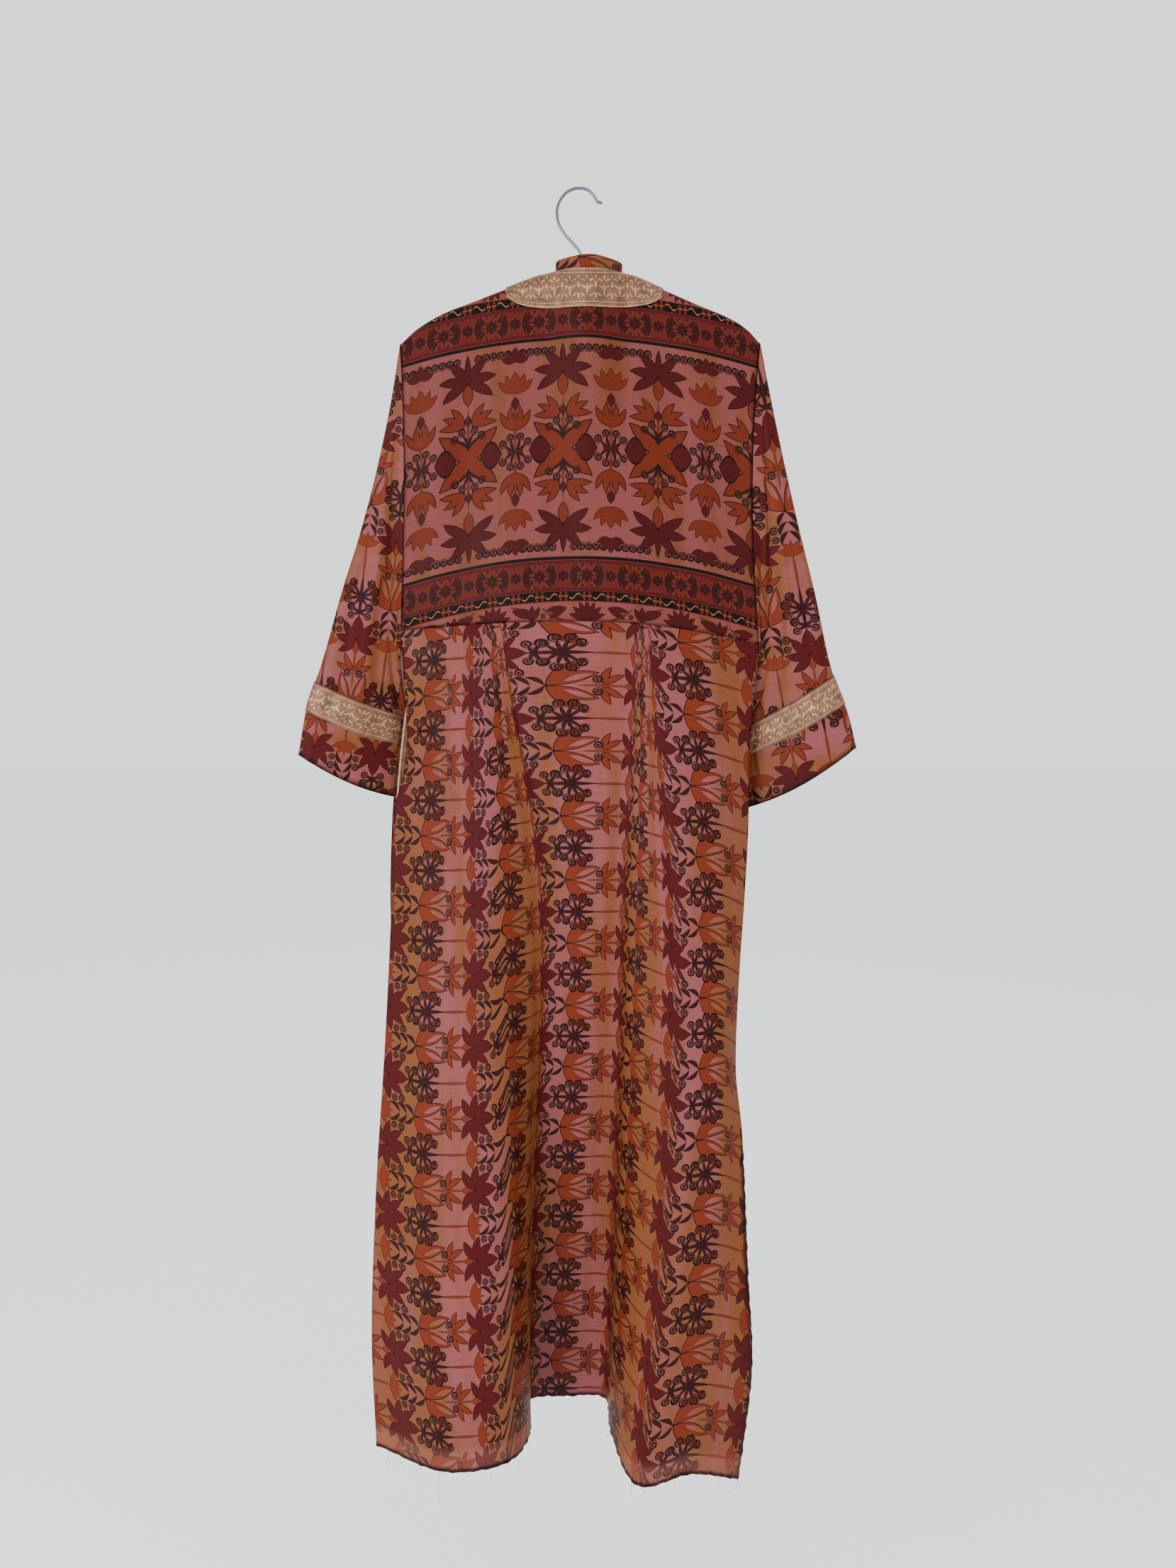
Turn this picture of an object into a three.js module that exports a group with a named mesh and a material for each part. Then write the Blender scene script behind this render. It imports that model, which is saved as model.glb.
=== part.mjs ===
// A long open robe in kimono style on a slim wooden hanger. The robe is printed silk with
// woven gold borders; its back faces -Y and its open fronts face +Y.
// Millimetres, +Z up. The origin is the inside top of the hanger's hook.
import * as THREE from 'three';

// ---- Driving sizes ----
const CLOTH = 1.4;                 // wall of every cloth panel
const BORDER = 1.0;                // wall of the gold borders that lie on the panels
const GAP = 0.3;                   // space between pieces that are sewn together
const RIDGE_GAP = 0.45;            // half the space along the shoulder seams on the hanger
const LIFT = 0.9;                  // space under the borders, which lie on turned cloth
const LAP = 2.6;                   // below the underarm a front's edge lies this far behind the back's
const ROLL = 7.5;                  // radius of the cloth where it turns over the hanger
const NECK = { left: -37, right: 53, depth: 20 };
const NECK_BORDER = { left: -78, right: 90, drop: 40, roundness: 3.2 };
const FRONT_BORDER = { inset: 3, width: 38, steps: 6, columns: 10 };
const YOKE = { seam: -461, leftDip: 10, rightDip: 25, halfWidth: 195, fullness: 16 };
const SKIRT = { hip: 0.332, knee: 0.705, blend: 0.1, rows: 21 };
const UNDERARM = -492;             // height where sleeve, front and back meet
const SLIT = { top: -1030, hem: -1385, spread: 9 };
const CUFF = { border: 34, belowOuter: 50, belowInner: 62, sag: 9 };
const SLEEVE = { ring: 24, startWidth: 11, endWidth: 15, squareness: 0.7, settle: 0.5 };
const COLLAR = { from: 0.14, to: 0.93, height: 14, lean: 2.5, inset: 1.2, columns: 10, rows: 2 };
const HANGER = { thickness: 9, bevel: 3.5, height: 24, endHeight: 15, left: -180, right: 181, below: 2.6 };
const WIRE = { radius: 1.6, sides: 8, steps: 40 };

// ---- Tables ----
// Top edge of the shoulders, which the hanger carries.
const ridgeTable = [
  { x: -193, z: -162 }, { x: -175, z: -146 }, { x: -147, z: -130 }, { x: -110, z: -116 },
  { x: -73, z: -102 }, { x: -37, z: -90 }, { x: 8, z: -88 }, { x: 53, z: -90 },
  { x: 87, z: -103 }, { x: 125, z: -119 }, { x: 166, z: -136 }, { x: 184, z: -148 }, { x: 197, z: -162 },
];

// Armhole and side seam of each side: x, the depth of the back's edge, and how far the
// front's edge lies apart from it. Below the underarm the two are sewn together.
const sideTable = {
  left: [
    { z: -162, x: -192, back: -7.5, apart: 15 },
    { z: -280, x: -190, back: -10, apart: 19 },
    { z: -400, x: -193, back: -12, apart: 21 },
    { z: -450, x: -195, back: -12, apart: 17 },
    { z: -492, x: -197, back: -7, apart: LAP },
    { z: -605, x: -191, back: -12, apart: LAP },
    { z: -670, x: -205, back: -17, apart: LAP },
    { z: -800, x: -210, back: -27, apart: LAP },
    { z: -950, x: -218, back: -38, apart: LAP },
    { z: -1110, x: -228, back: -52, apart: LAP },
    { z: -1260, x: -232, back: -64, apart: LAP },
    { z: -1385, x: -227, back: -72, apart: LAP },
    { z: -1420, x: -226, back: -74, apart: LAP },
  ],
  right: [
    { z: -162, x: 195, back: -7.5, apart: 15 },
    { z: -250, x: 190, back: -9.5, apart: 18.5 },
    { z: -330, x: 189, back: -11, apart: 20 },
    { z: -420, x: 193, back: -12, apart: 20 },
    { z: -492, x: 199, back: -7, apart: LAP },
    { z: -600, x: 190, back: -12, apart: LAP },
    { z: -700, x: 188, back: -19, apart: LAP },
    { z: -870, x: 178, back: -32, apart: LAP },
    { z: -960, x: 176, back: -39, apart: LAP },
    { z: -1030, x: 183, back: -45, apart: LAP },
    { z: -1190, x: 189, back: -58, apart: LAP },
    { z: -1290, x: 193, back: -67, apart: LAP },
    { z: -1385, x: 183, back: -73, apart: LAP },
    { z: -1420, x: 178, back: -75, apart: LAP },
  ],
};

// Folds of the back skirt from left to right: x and y at the seam, hip, knee and hem.
// The cloth between foldA and foldD falls back towards the wall as a deep recess.
const skirtFolds = [
  { name: 'sideLeft', side: 'left', zHem: -1380, steps: 4 },
  { name: 'lobeLeft', x: [-150, -155, -162, -142], y: [-22, -46, -86, -110], zHem: -1385, steps: 4 },
  { name: 'foldA', x: [-99, -88, -80, -76], y: [-27, -52, -84, -98], zHem: -1380, steps: 3 },
  { name: 'wallLeft', x: [-94, -60, -60, -57], y: [-27, -38, -52, -60], zHem: -1375, steps: 4 },
  { name: 'foldB', x: [-88, -41, -50, -60], y: [-27, -27, -18, -8], zHem: -1368, steps: 5 },
  { name: 'centre', x: [-8, 6, -4, -14], y: [-28, -28, -15, -3], zHem: -1366, steps: 5 },
  { name: 'foldC', x: [64, 50, 41, 30], y: [-27, -25, -15, -6], zHem: -1366, steps: 4 },
  { name: 'wallRight', x: [69, 62, 51, 37], y: [-27, -36, -46, -60], zHem: -1372, steps: 4 },
  { name: 'foldD', x: [75, 104, 92, 64], y: [-27, -47, -80, -110], zHem: -1400, steps: 4 },
  { name: 'lobeRight', x: [132, 150, 146, 122], y: [-22, -42, -76, -102], zHem: -1393, steps: 4 },
  { name: 'sideRight', side: 'right', zHem: -1418, steps: 0 },
];

// Folds of each front from its side seam to its free edge, at the stations below. The left
// front is turned back on itself from the neck down, so its bordered edge lies beside the
// side seam.
const frontStations = [0, 0.04, 0.08, 0.17, 0.31, 0.51, 0.77, 1];
const frontFolds = {
  left: [
    { name: 'side', side: 'left', zHem: -1383 },
    { name: 'mid', x: [-150, -148, -146, -143, -150, -160, -175, -170], y: [7.5, 8, 9, 11, 6, -8, -60, -80], zHem: -1388 },
    { name: 'turn', x: [-75, -68, -64, -72, -90, -104, -96, -84], y: [7.5, 8.5, 8, 9, 11, 7, -26, -60], zHem: -1386 },
    { name: 'fold', x: [-56, -48, -51, -60, -82, -98, -88, -78], y: [7.5, 12, 16, 18, 18, 14, -16, -50], zHem: -1385 },
    { name: 'lapel', x: [-46, -43, -62, -92, -140, -155, -135, -120], y: [7.5, 20, 25, 27, 20, 10, -14, -38], zHem: -1384 },
    { name: 'edge', x: [-37, -52, -77, -124, -186, -207, -190, -172], y: [7.5, 26, 27, 27, 12, -11, -32, -46], zHem: -1384 },
  ],
  right: [
    { name: 'side', side: 'right', zHem: -1394 },
    { name: 'mid', x: [150, 147, 145, 143, 150, 146, 145, 140], y: [7.5, 9, 11, 13, 10, -6, -46, -76], zHem: -1392 },
    { name: 'fold', x: [118, 112, 106, 98, 100, 110, 104, 100], y: [7.5, 9, 10, 10, 4, 4, -34, -72], zHem: -1394 },
    { name: 'soft', x: [84, 80, 76, 72, 76, 88, 80, 82], y: [7.5, 10, 12, 14, 12, -2, -26, -54], zHem: -1390 },
    { name: 'edge', x: [53, 49, 45, 42, 44, 60, 58, 60], y: [7.5, 9, 10, 11, 7, 3, -14, -30], zHem: -1388 },
  ],
};

// Outer fold of each sleeve from the shoulder to the cuff, and its lower fold from the
// underarm to the cuff, which passes behind the body.
const sleeveTable = {
  left: {
    outer: [
      { x: -194, y: 0, z: -163 }, { x: -203, y: -2, z: -219 }, { x: -212, y: -3, z: -272 },
      { x: -226, y: -4, z: -325 }, { x: -259, y: -5, z: -423 }, { x: -284, y: -5, z: -505 },
      { x: -302, y: -6, z: -556 }, { x: -312, y: -6, z: -608 },
    ],
    under: [
      { x: -199, y: -5, z: -492 }, { x: -204, y: 7, z: -517 }, { x: -199, y: 21, z: -547 },
      { x: -193, y: 30, z: -600 }, { x: -184, y: 33, z: -663 },
    ],
  },
  right: {
    outer: [
      { x: 197, y: 0, z: -163 }, { x: 206, y: -2, z: -205 }, { x: 216, y: -3, z: -258 },
      { x: 230, y: -4, z: -318 }, { x: 260, y: -5, z: -432 }, { x: 279, y: -5, z: -512 },
      { x: 299, y: -6, z: -564 }, { x: 308, y: -6, z: -600 },
    ],
    under: [
      { x: 201, y: -5, z: -492 }, { x: 203, y: 6, z: -515 }, { x: 196, y: 17, z: -547 },
      { x: 188, y: 25, z: -605 }, { x: 178, y: 30, z: -675 },
    ],
  },
};

// Bends of the hook's wire in the XZ plane, from the hanger's arms up to its tip.
const hookBends = [
  { x: 3, z: -72 }, { x: 0, z: -63 }, { x: -7, z: -55 }, { x: -16, z: -45 }, { x: -22.5, z: -32 },
  { x: -22.5, z: -17 }, { x: -15, z: -4.5 }, { x: -6, z: 0.7 }, { x: 0, z: WIRE.radius }, { x: 8, z: 0.5 },
  { x: 15, z: -4.5 }, { x: 20, z: -12 }, { x: 24, z: -13.5 },
];

// ---- Small mathematics ----
const mix = (a, b, t) => a + (b - a) * t;
const clamp01 = (t) => Math.min(1, Math.max(0, t));
const smooth = (t) => clamp01(t) ** 2 * (3 - 2 * clamp01(t));
const mixPoint = (a, b, t) => a.clone().lerp(b, t);

// A smooth curve through knots (rising or falling) and their values.
function through(knots, values) {
  const last = knots.length - 1;
  const slopes = knots.map((_, i) => {
    const before = Math.max(0, i - 1);
    const after = Math.min(last, i + 1);
    return (values[after] - values[before]) / (knots[after] - knots[before]);
  });
  const direction = Math.sign(knots[last] - knots[0]);
  return (at) => {
    let i = 0;
    while (i < last - 1 && (at - knots[i + 1]) * direction > 0) i += 1;
    const span = knots[i + 1] - knots[i];
    const t = clamp01((at - knots[i]) / span);
    const t2 = t * t;
    const t3 = t2 * t;
    return (2 * t3 - 3 * t2 + 1) * values[i] + (t3 - 2 * t2 + t) * slopes[i] * span
      + (3 * t2 - 2 * t3) * values[i + 1] + (t3 - t2) * slopes[i + 1] * span;
  };
}

const column = (table, key, name) => through(table.map((row) => row[key]), table.map((row) => row[name]));
const lineThrough = (rows) => new THREE.CatmullRomCurve3(
  rows.map((row) => new THREE.Vector3(row.x, row.y, row.z)), false, 'centripetal');

// ---- Shared lines of the garment ----
const ridge = column(ridgeTable, 'x', 'z');
const sides = Object.fromEntries(Object.entries(sideTable).map(([name, table]) => [name, {
  x: column(table, 'z', 'x'),
  back: column(table, 'z', 'back'),
  apart: column(table, 'z', 'apart'),
  top: ridge(table[0].x),
  inward: name === 'left' ? 1 : -1,
}]));

// How far the cloth has turned from lying on the hanger's top (0) to hanging from it (1).
function rollOver(drop) {
  return Math.sqrt(1 - (1 - clamp01(drop / ROLL)) ** 2);
}

// Depth of the back's or front's edge at the armhole or side seam.
const sideDepth = (side, layer, z) => rollOver(side.top - z) * (side.back(z) + (layer === 'front' ? side.apart(z) : 0));

function seamHeight(x) {
  const dip = x < 0 ? YOKE.leftDip : YOKE.rightDip;
  return YOKE.seam - dip * (x / YOKE.halfWidth) ** 2;
}

function neckBulge(x) {
  const across = (x - NECK.left) / (NECK.right - NECK.left);
  return across <= 0 || across >= 1 ? 0 : Math.sin(Math.PI * across) ** 1.5;
}

// ---- Building a wall from a grid of points ----
// grid[row][column] of points on the cloth's middle surface; columns run from the left to
// the right as seen from outside, rows run down. A ring of columns closes on itself.
function gridNormals(grid, closed) {
  const rows = grid.length;
  const columns = grid[0].length;
  return grid.map((line, r) => line.map((_, c) => {
    const left = closed ? (c + columns - 1) % columns : Math.max(0, c - 1);
    const right = closed ? (c + 1) % columns : Math.min(columns - 1, c + 1);
    const across = grid[r][right].clone().sub(grid[r][left]);
    const down = grid[Math.min(rows - 1, r + 1)][c].clone().sub(grid[Math.max(0, r - 1)][c]);
    return down.cross(across).normalize();
  }));
}

// The closed wall between two offsets from the grid, measured along its outward normals.
function wall(grid, normals, inner, outer, closed = false) {
  const rows = grid.length;
  const columns = grid[0].length;
  const positions = [];
  for (const offset of [outer, inner]) {
    grid.forEach((line, r) => line.forEach((point, c) => {
      positions.push(...point.clone().addScaledVector(normals[r][c], offset).toArray());
    }));
  }
  const front = (r, c) => r * columns + (c % columns);
  const back = (r, c) => rows * columns + front(r, c);
  const faces = [];
  const quad = (a, b, c, d) => faces.push(a, b, c, a, c, d);
  const spans = closed ? columns : columns - 1;
  for (let r = 0; r < rows - 1; r += 1) {
    for (let c = 0; c < spans; c += 1) {
      quad(front(r, c), front(r + 1, c), front(r + 1, c + 1), front(r, c + 1));
      quad(back(r, c), back(r, c + 1), back(r + 1, c + 1), back(r + 1, c));
    }
  }
  for (let c = 0; c < spans; c += 1) {
    quad(front(0, c), front(0, c + 1), back(0, c + 1), back(0, c));
    quad(front(rows - 1, c + 1), front(rows - 1, c), back(rows - 1, c), back(rows - 1, c + 1));
  }
  for (let r = 0; r < rows - 1 && !closed; r += 1) {
    quad(front(r + 1, 0), front(r, 0), back(r, 0), back(r + 1, 0));
    quad(front(r, columns - 1), front(r + 1, columns - 1), back(r + 1, columns - 1), back(r, columns - 1));
  }
  const geometry = new THREE.BufferGeometry();
  geometry.setAttribute('position', new THREE.Float32BufferAttribute(positions, 3));
  geometry.setIndex(faces);
  geometry.computeVertexNormals();
  return geometry;
}

const part = (grid, rows, columns) => grid.slice(...rows).map((line) => line.slice(...columns));
const clothWall = (grid, normals, closed) => wall(grid, normals, -CLOTH / 2, CLOTH / 2, closed);
const borderWall = (grid, normals, closed) => wall(grid, normals, CLOTH / 2 + LIFT, CLOTH / 2 + LIFT + BORDER, closed);

// ---- Back yoke, with the gold border round the neck ----
const yokeColumns = [
  { from: 'side', to: NECK_BORDER.left, steps: 6 },
  { from: NECK_BORDER.left, to: NECK.left, steps: 3 },
  { from: NECK.left, to: NECK.right, steps: 8 },
  { from: NECK.right, to: NECK_BORDER.right, steps: 3 },
  { from: NECK_BORDER.right, to: 'side', steps: 6 },
];
const rollDrops = [0, 0.13 * ROLL, 0.5 * ROLL, ROLL];
const BORDER_ROWS = 3;
const YOKE_ROWS = 7;
const NECK_STEP = 2.5;             // spacing of the first rows where the neck stands free

const rollDrop = (x, step) => mix(rollDrops[step], NECK_STEP * step, neckBulge(x));

// Width of the neck border below the top edge; it runs out over the hanger at its two ends.
function borderDrop(x) {
  const middle = (NECK_BORDER.left + NECK_BORDER.right) / 2;
  const reach = clamp01(Math.abs(x - middle) / (NECK_BORDER.right - middle));
  return mix(ROLL + BORDER_ROWS, NECK_BORDER.drop, 1 - reach ** NECK_BORDER.roundness);
}

function yokeDepth(x, drop, fullDrop) {
  const fallen = drop / fullDrop;
  const eased = smooth(fallen);
  const neck = neckBulge(x);
  const across = clamp01((x - sides.left.x(sides.left.top)) / (sides.right.x(sides.right.top) - sides.left.x(sides.left.top)));
  const edge = mix(
    sides.left.back(mix(sides.left.top, seamHeight(-YOKE.halfWidth), fallen)),
    sides.right.back(mix(sides.right.top, seamHeight(YOKE.halfWidth), fallen)), across);
  return edge * mix(rollOver(drop), 1, neck) - YOKE.fullness * Math.sin(Math.PI * across) * eased
    - (NECK.depth - ROLL) * neck * (1 - eased);
}

function yokePoint(x, drop) {
  const fullDrop = ridge(x) - seamHeight(x);
  return new THREE.Vector3(x, yokeDepth(x, drop, fullDrop) - RIDGE_GAP, ridge(x) - drop);
}

function yokeRow(dropAt) {
  const line = [];
  yokeColumns.forEach(({ from, to, steps }, band) => {
    for (let s = band === 0 ? 0 : 1; s <= steps; s += 1) {
      const place = (z) => mix(
        from === 'side' ? sides.left.x(z) + GAP : from, to === 'side' ? sides.right.x(z) - GAP : to, s / steps);
      const first = place(sides.left.top);
      const point = yokePoint(first, dropAt(first));
      point.x = place(point.z);
      point.y = sewnDepth(point, first, s / steps, from, to);
      line.push(point);
    }
  });
  return line;
}

// Beside the armholes the yoke's depth is the armhole's own, so that the sleeves meet it.
function sewnDepth(point, first, step, from, to) {
  const side = from === 'side' ? sides.left : sides.right;
  const nearness = from === 'side' ? 1 - step : step;
  if (from !== 'side' && to !== 'side') return point.y;
  return mix(point.y, rollOver(ridge(first) - point.z) * side.back(point.z) - RIDGE_GAP, nearness ** 2);
}

const yokeGrid = rollDrops.map((_, step) => yokeRow((x) => rollDrop(x, step)));
for (let row = 1; row <= BORDER_ROWS; row += 1) {
  yokeGrid.push(yokeRow((x) => mix(rollDrop(x, rollDrops.length - 1), borderDrop(x), row / BORDER_ROWS)));
}
for (let row = 1; row <= YOKE_ROWS; row += 1) {
  yokeGrid.push(yokeRow((x) => mix(borderDrop(x), ridge(x) - seamHeight(x), row / YOKE_ROWS)));
}
const yokeNormals = gridNormals(yokeGrid, false);
const seamRow = yokeGrid[yokeGrid.length - 1];
const borderColumns = [yokeColumns[0].steps, yokeColumns[0].steps + 3 + 8 + 3 + 1];
const neckRows = [0, rollDrops.length + BORDER_ROWS];

// ---- Back skirt, hung from the yoke's seam with two pleats ----
const seamDepth = through(seamRow.map((point) => point.x), seamRow.map((point) => point.y));

function acrossFolds(folds, pointOf) {
  const curve = new THREE.CatmullRomCurve3(folds.map(pointOf), false, 'centripetal');
  const line = [];
  folds.forEach((fold, i) => {
    for (let s = 0; s < fold.steps; s += 1) {
      line.push(curve.getPoint((i + s / fold.steps) / (folds.length - 1)));
    }
  });
  line.push(curve.getPoint(1));
  return line;
}

const skirtStations = [0, SKIRT.hip, SKIRT.knee, 1];

function skirtRow(v) {
  const line = acrossFolds(skirtFolds, (fold) => {
    if (fold.side) {
      const side = sides[fold.side];
      const z = mix(seamHeight(side.x(UNDERARM)), fold.zHem, v);
      return new THREE.Vector3(side.x(z) + GAP * side.inward, sideDepth(side, 'back', z), z);
    }
    const x = through(skirtStations, fold.x)(v);
    const y = through(skirtStations, fold.y)(v);
    return new THREE.Vector3(x, y, mix(seamHeight(x), fold.zHem, v));
  });
  const sewn = 1 - smooth(v / SKIRT.blend);
  return line.map((point) => {
    const onSeam = new THREE.Vector3(point.x, seamDepth(point.x), seamHeight(point.x) - 2 * GAP - v);
    return mixPoint(point, onSeam, sewn);
  });
}

const skirtGrid = [skirtRow(0), skirtRow(0.02)];
for (let row = 1; row <= SKIRT.rows; row += 1) skirtGrid.push(skirtRow(row / SKIRT.rows));
const skirtNormals = gridNormals(skirtGrid, false);

// ---- Fronts, each with a gold border along its free edge ----
const FRONT_ROWS = 22;
const FRONT_START = 0.008;         // share of the length where the cloth leaves the hanger

function frontPoint(fold, drop, v) {
  if (fold.side) {
    const side = sides[fold.side];
    const z = v === null ? side.top - drop : mix(side.top, fold.zHem, v);
    const open = SLIT.spread * smooth((SLIT.top - z) / (SLIT.top - SLIT.hem));
    return new THREE.Vector3(side.x(z) + (GAP + open) * side.inward, sideDepth(side, 'front', z) + open, z);
  }
  const top = ridge(fold.x[0]);
  const fraction = v === null ? drop / (top - fold.zHem) : v;
  const z = mix(top, fold.zHem, fraction);
  const x = through(frontStations, fold.x)(fraction);
  return new THREE.Vector3(x, through(frontStations, fold.y)(fraction) * rollOver(top - z), z);
}

// The last columns of a front lie at the border's own distances from the free edge.
function frontRow(folds, drop, v) {
  const curve = new THREE.CatmullRomCurve3(folds.map((fold) => frontPoint(fold, drop, v)), false, 'centripetal');
  const length = curve.getLength();
  const inner = FRONT_BORDER.inset + FRONT_BORDER.width;
  const line = [];
  for (let s = 0; s < FRONT_BORDER.columns; s += 1) {
    line.push(curve.getPointAt((1 - inner / length) * s / FRONT_BORDER.columns));
  }
  for (let s = 0; s <= FRONT_BORDER.steps; s += 1) {
    line.push(curve.getPointAt(1 - (inner - FRONT_BORDER.width * s / FRONT_BORDER.steps) / length));
  }
  line.push(curve.getPoint(1));
  return line.map((point) => layOnRidge(point, drop, v));
}

// Above the turn over the hanger the cloth follows the ridge, clear of the yoke's edge.
function layOnRidge(point, drop, v) {
  if (v !== null) return point;
  return new THREE.Vector3(point.x, RIDGE_GAP + ROLL * rollOver(drop), ridge(point.x) - drop);
}

// Rows lie closer together at the top, where the left front turns back.
function frontGrid(folds) {
  const grid = rollDrops.map((drop) => frontRow(folds, drop, null));
  for (let row = 1; row <= FRONT_ROWS; row += 1) {
    grid.push(frontRow(folds, 0, mix(FRONT_START, 1, (row / FRONT_ROWS) ** 1.3)));
  }
  return grid;
}

// ---- Sleeves: flattened tubes from the armhole to the cuff ----
function sleevePoint(side, lines, turn, t) {
  const c = (1 - Math.cos(turn)) / 2;
  const layer = Math.sin(turn) >= 0 ? 'back' : 'front';
  const outward = Math.sign(Math.sin(turn)) * Math.abs(Math.sin(turn)) ** SLEEVE.squareness;
  const z = mix(side.top, UNDERARM, c);
  const armhole = new THREE.Vector3(side.x(z) - 2.5 * GAP * side.inward, sideDepth(side, layer, z), z);
  const tube = mixPoint(lines.outer.getPointAt(t), lines.under.getPointAt(t), c);
  tube.y -= outward * mix(SLEEVE.startWidth, SLEEVE.endWidth, t);
  tube.z -= CUFF.sag * Math.sin(Math.PI * c) * t * t;
  return mixPoint(armhole, tube, smooth(t / SLEEVE.settle));
}

const sleeveFractions = [0, 0.06, 0.17, 0.32, 0.48, 0.64, 0.8, 0.92];

function sleeveGrid(name) {
  const side = sides[name];
  const lines = { outer: lineThrough(sleeveTable[name].outer), under: lineThrough(sleeveTable[name].under) };
  const lengths = { outer: lines.outer.getLength(), under: lines.under.getLength() };
  const turnOf = (c) => side.inward * (2 * Math.PI * c) / SLEEVE.ring;
  const row = (tOf) => Array.from({ length: SLEEVE.ring }, (_, c) => {
    const turn = turnOf(c);
    const share = (1 - Math.cos(turn)) / 2;
    const length = mix(lengths.outer, lengths.under, share);
    const below = mix(CUFF.belowOuter, CUFF.belowInner, share);
    return sleevePoint(side, lines, turn, tOf(below / length, (below + CUFF.border) / length));
  });
  const grid = sleeveFractions.map((f) => row((_, borderTop) => f * (1 - borderTop)));
  grid.push(row((_, borderTop) => 1 - borderTop));
  grid.push(row((borderFoot, borderTop) => 1 - (borderFoot + borderTop) / 2));
  grid.push(row((borderFoot) => 1 - borderFoot));
  grid.push(row((borderFoot) => 1 - borderFoot / 2));
  grid.push(row(() => 1));
  return grid;
}
const cuffRows = [sleeveFractions.length, sleeveFractions.length + 3];

// ---- Neck band: the printed strip that stands above the gold border at the back neck ----
function collarGrid() {
  const grid = [];
  for (let r = 0; r <= COLLAR.rows; r += 1) {
    const up = 1 - r / COLLAR.rows;
    const line = [];
    for (let c = 0; c <= COLLAR.columns; c += 1) {
      const x = mix(NECK.left, NECK.right, mix(COLLAR.from, COLLAR.to, c / COLLAR.columns));
      const foot = yokePoint(x, 0);
      line.push(new THREE.Vector3(x, foot.y + COLLAR.inset + COLLAR.lean * up, foot.z + 3 * GAP + COLLAR.height * up));
    }
    grid.push(line);
  }
  return grid;
}

// ---- Hanger: two arms cut from one board, and a bent wire hook ----
function hangerArms() {
  const shape = new THREE.Shape();
  const stations = 18;
  const middle = (HANGER.left + HANGER.right) / 2;
  const at = (s) => mix(HANGER.left, HANGER.right, s / stations);
  const heightAt = (x) => mix(HANGER.height, HANGER.endHeight, Math.abs(x - middle) / (HANGER.right - middle));
  shape.moveTo(at(0), ridge(at(0)) - HANGER.below);
  for (let s = 1; s <= stations; s += 1) shape.lineTo(at(s), ridge(at(s)) - HANGER.below);
  for (let s = stations; s >= 0; s -= 1) shape.lineTo(at(s), ridge(at(s)) - HANGER.below - heightAt(at(s)));
  const geometry = new THREE.ExtrudeGeometry(shape, {
    depth: HANGER.thickness - 2 * HANGER.bevel,
    bevelThickness: HANGER.bevel,
    bevelSize: HANGER.bevel,
    bevelOffset: -HANGER.bevel,
    bevelSegments: 2,
    curveSegments: 1,
  });
  geometry.translate(0, 0, HANGER.bevel - HANGER.thickness / 2);
  return geometry.rotateX(Math.PI / 2);
}

function hangerHook() {
  const foot = { x: 3, z: ridge(3) - HANGER.below + GAP };
  const bends = [foot, ...hookBends].map((bend) => new THREE.Vector3(bend.x, 0, bend.z));
  const section = new THREE.Shape().absarc(0, 0, WIRE.radius, 0, 2 * Math.PI, false);
  return new THREE.ExtrudeGeometry(section, {
    steps: WIRE.steps,
    curveSegments: WIRE.sides / 2,
    bevelEnabled: false,
    extrudePath: new THREE.CatmullRomCurve3(bends, false, 'centripetal'),
  });
}

// ---- The whole ----
const finishes = {
  silk: { color: 0xa8605c, roughness: 0.5, metalness: 0 },
  gold: { color: 0xc9a878, roughness: 0.45, metalness: 0.2 },
  steel: { color: 0xb8bcc0, roughness: 0.3, metalness: 1 },
  wood: { color: 0x7a5436, roughness: 0.55, metalness: 0 },
};
const robe = new THREE.Group();

function add(name, geometry, finish) {
  const mesh = new THREE.Mesh(geometry, new THREE.MeshStandardMaterial({ ...finishes[finish] }));
  mesh.name = name;
  robe.add(mesh);
}

add('back_yoke', clothWall(yokeGrid, yokeNormals), 'silk');
add('neck_border', borderWall(part(yokeGrid, neckRows, borderColumns), part(yokeNormals, neckRows, borderColumns)), 'gold');
add('back_skirt', clothWall(skirtGrid, skirtNormals), 'silk');

for (const name of ['left', 'right']) {
  // Seen from outside, the left front runs from its free edge to its side seam.
  const reach = frontGrid(frontFolds[name]);
  const grid = name === 'left' ? reach : reach.map((line) => [...line].reverse());
  const outward = gridNormals(grid, false).map((line) => line.map((normal) => normal.negate()));
  const turned = (rows) => rows.map((line) => [...line].reverse());
  const front = turned(grid);
  const frontNormals = turned(outward);
  const last = front[0].length;
  const columns = name === 'left' ? [1, 2 + FRONT_BORDER.steps] : [last - 2 - FRONT_BORDER.steps, last - 1];
  const rows = [0, front.length];
  add(`front_${name}`, clothWall(front, frontNormals), 'silk');
  add(`front_border_${name}`, borderWall(part(front, rows, columns), part(frontNormals, rows, columns)), 'gold');

  const sleeve = sleeveGrid(name);
  const sleeveNormals = gridNormals(sleeve, true);
  add(`sleeve_${name}`, clothWall(sleeve, sleeveNormals, true), 'silk');
  const all = [0, SLEEVE.ring];
  add(`cuff_border_${name}`, borderWall(part(sleeve, cuffRows, all), part(sleeveNormals, cuffRows, all), true), 'gold');
}

const collar = collarGrid();
add('neck_band', clothWall(collar, gridNormals(collar, false)), 'silk');
add('hanger_arms', hangerArms(), 'wood');
add('hanger_hook', hangerHook(), 'steel');

export default robe;
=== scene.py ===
import math

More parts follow.
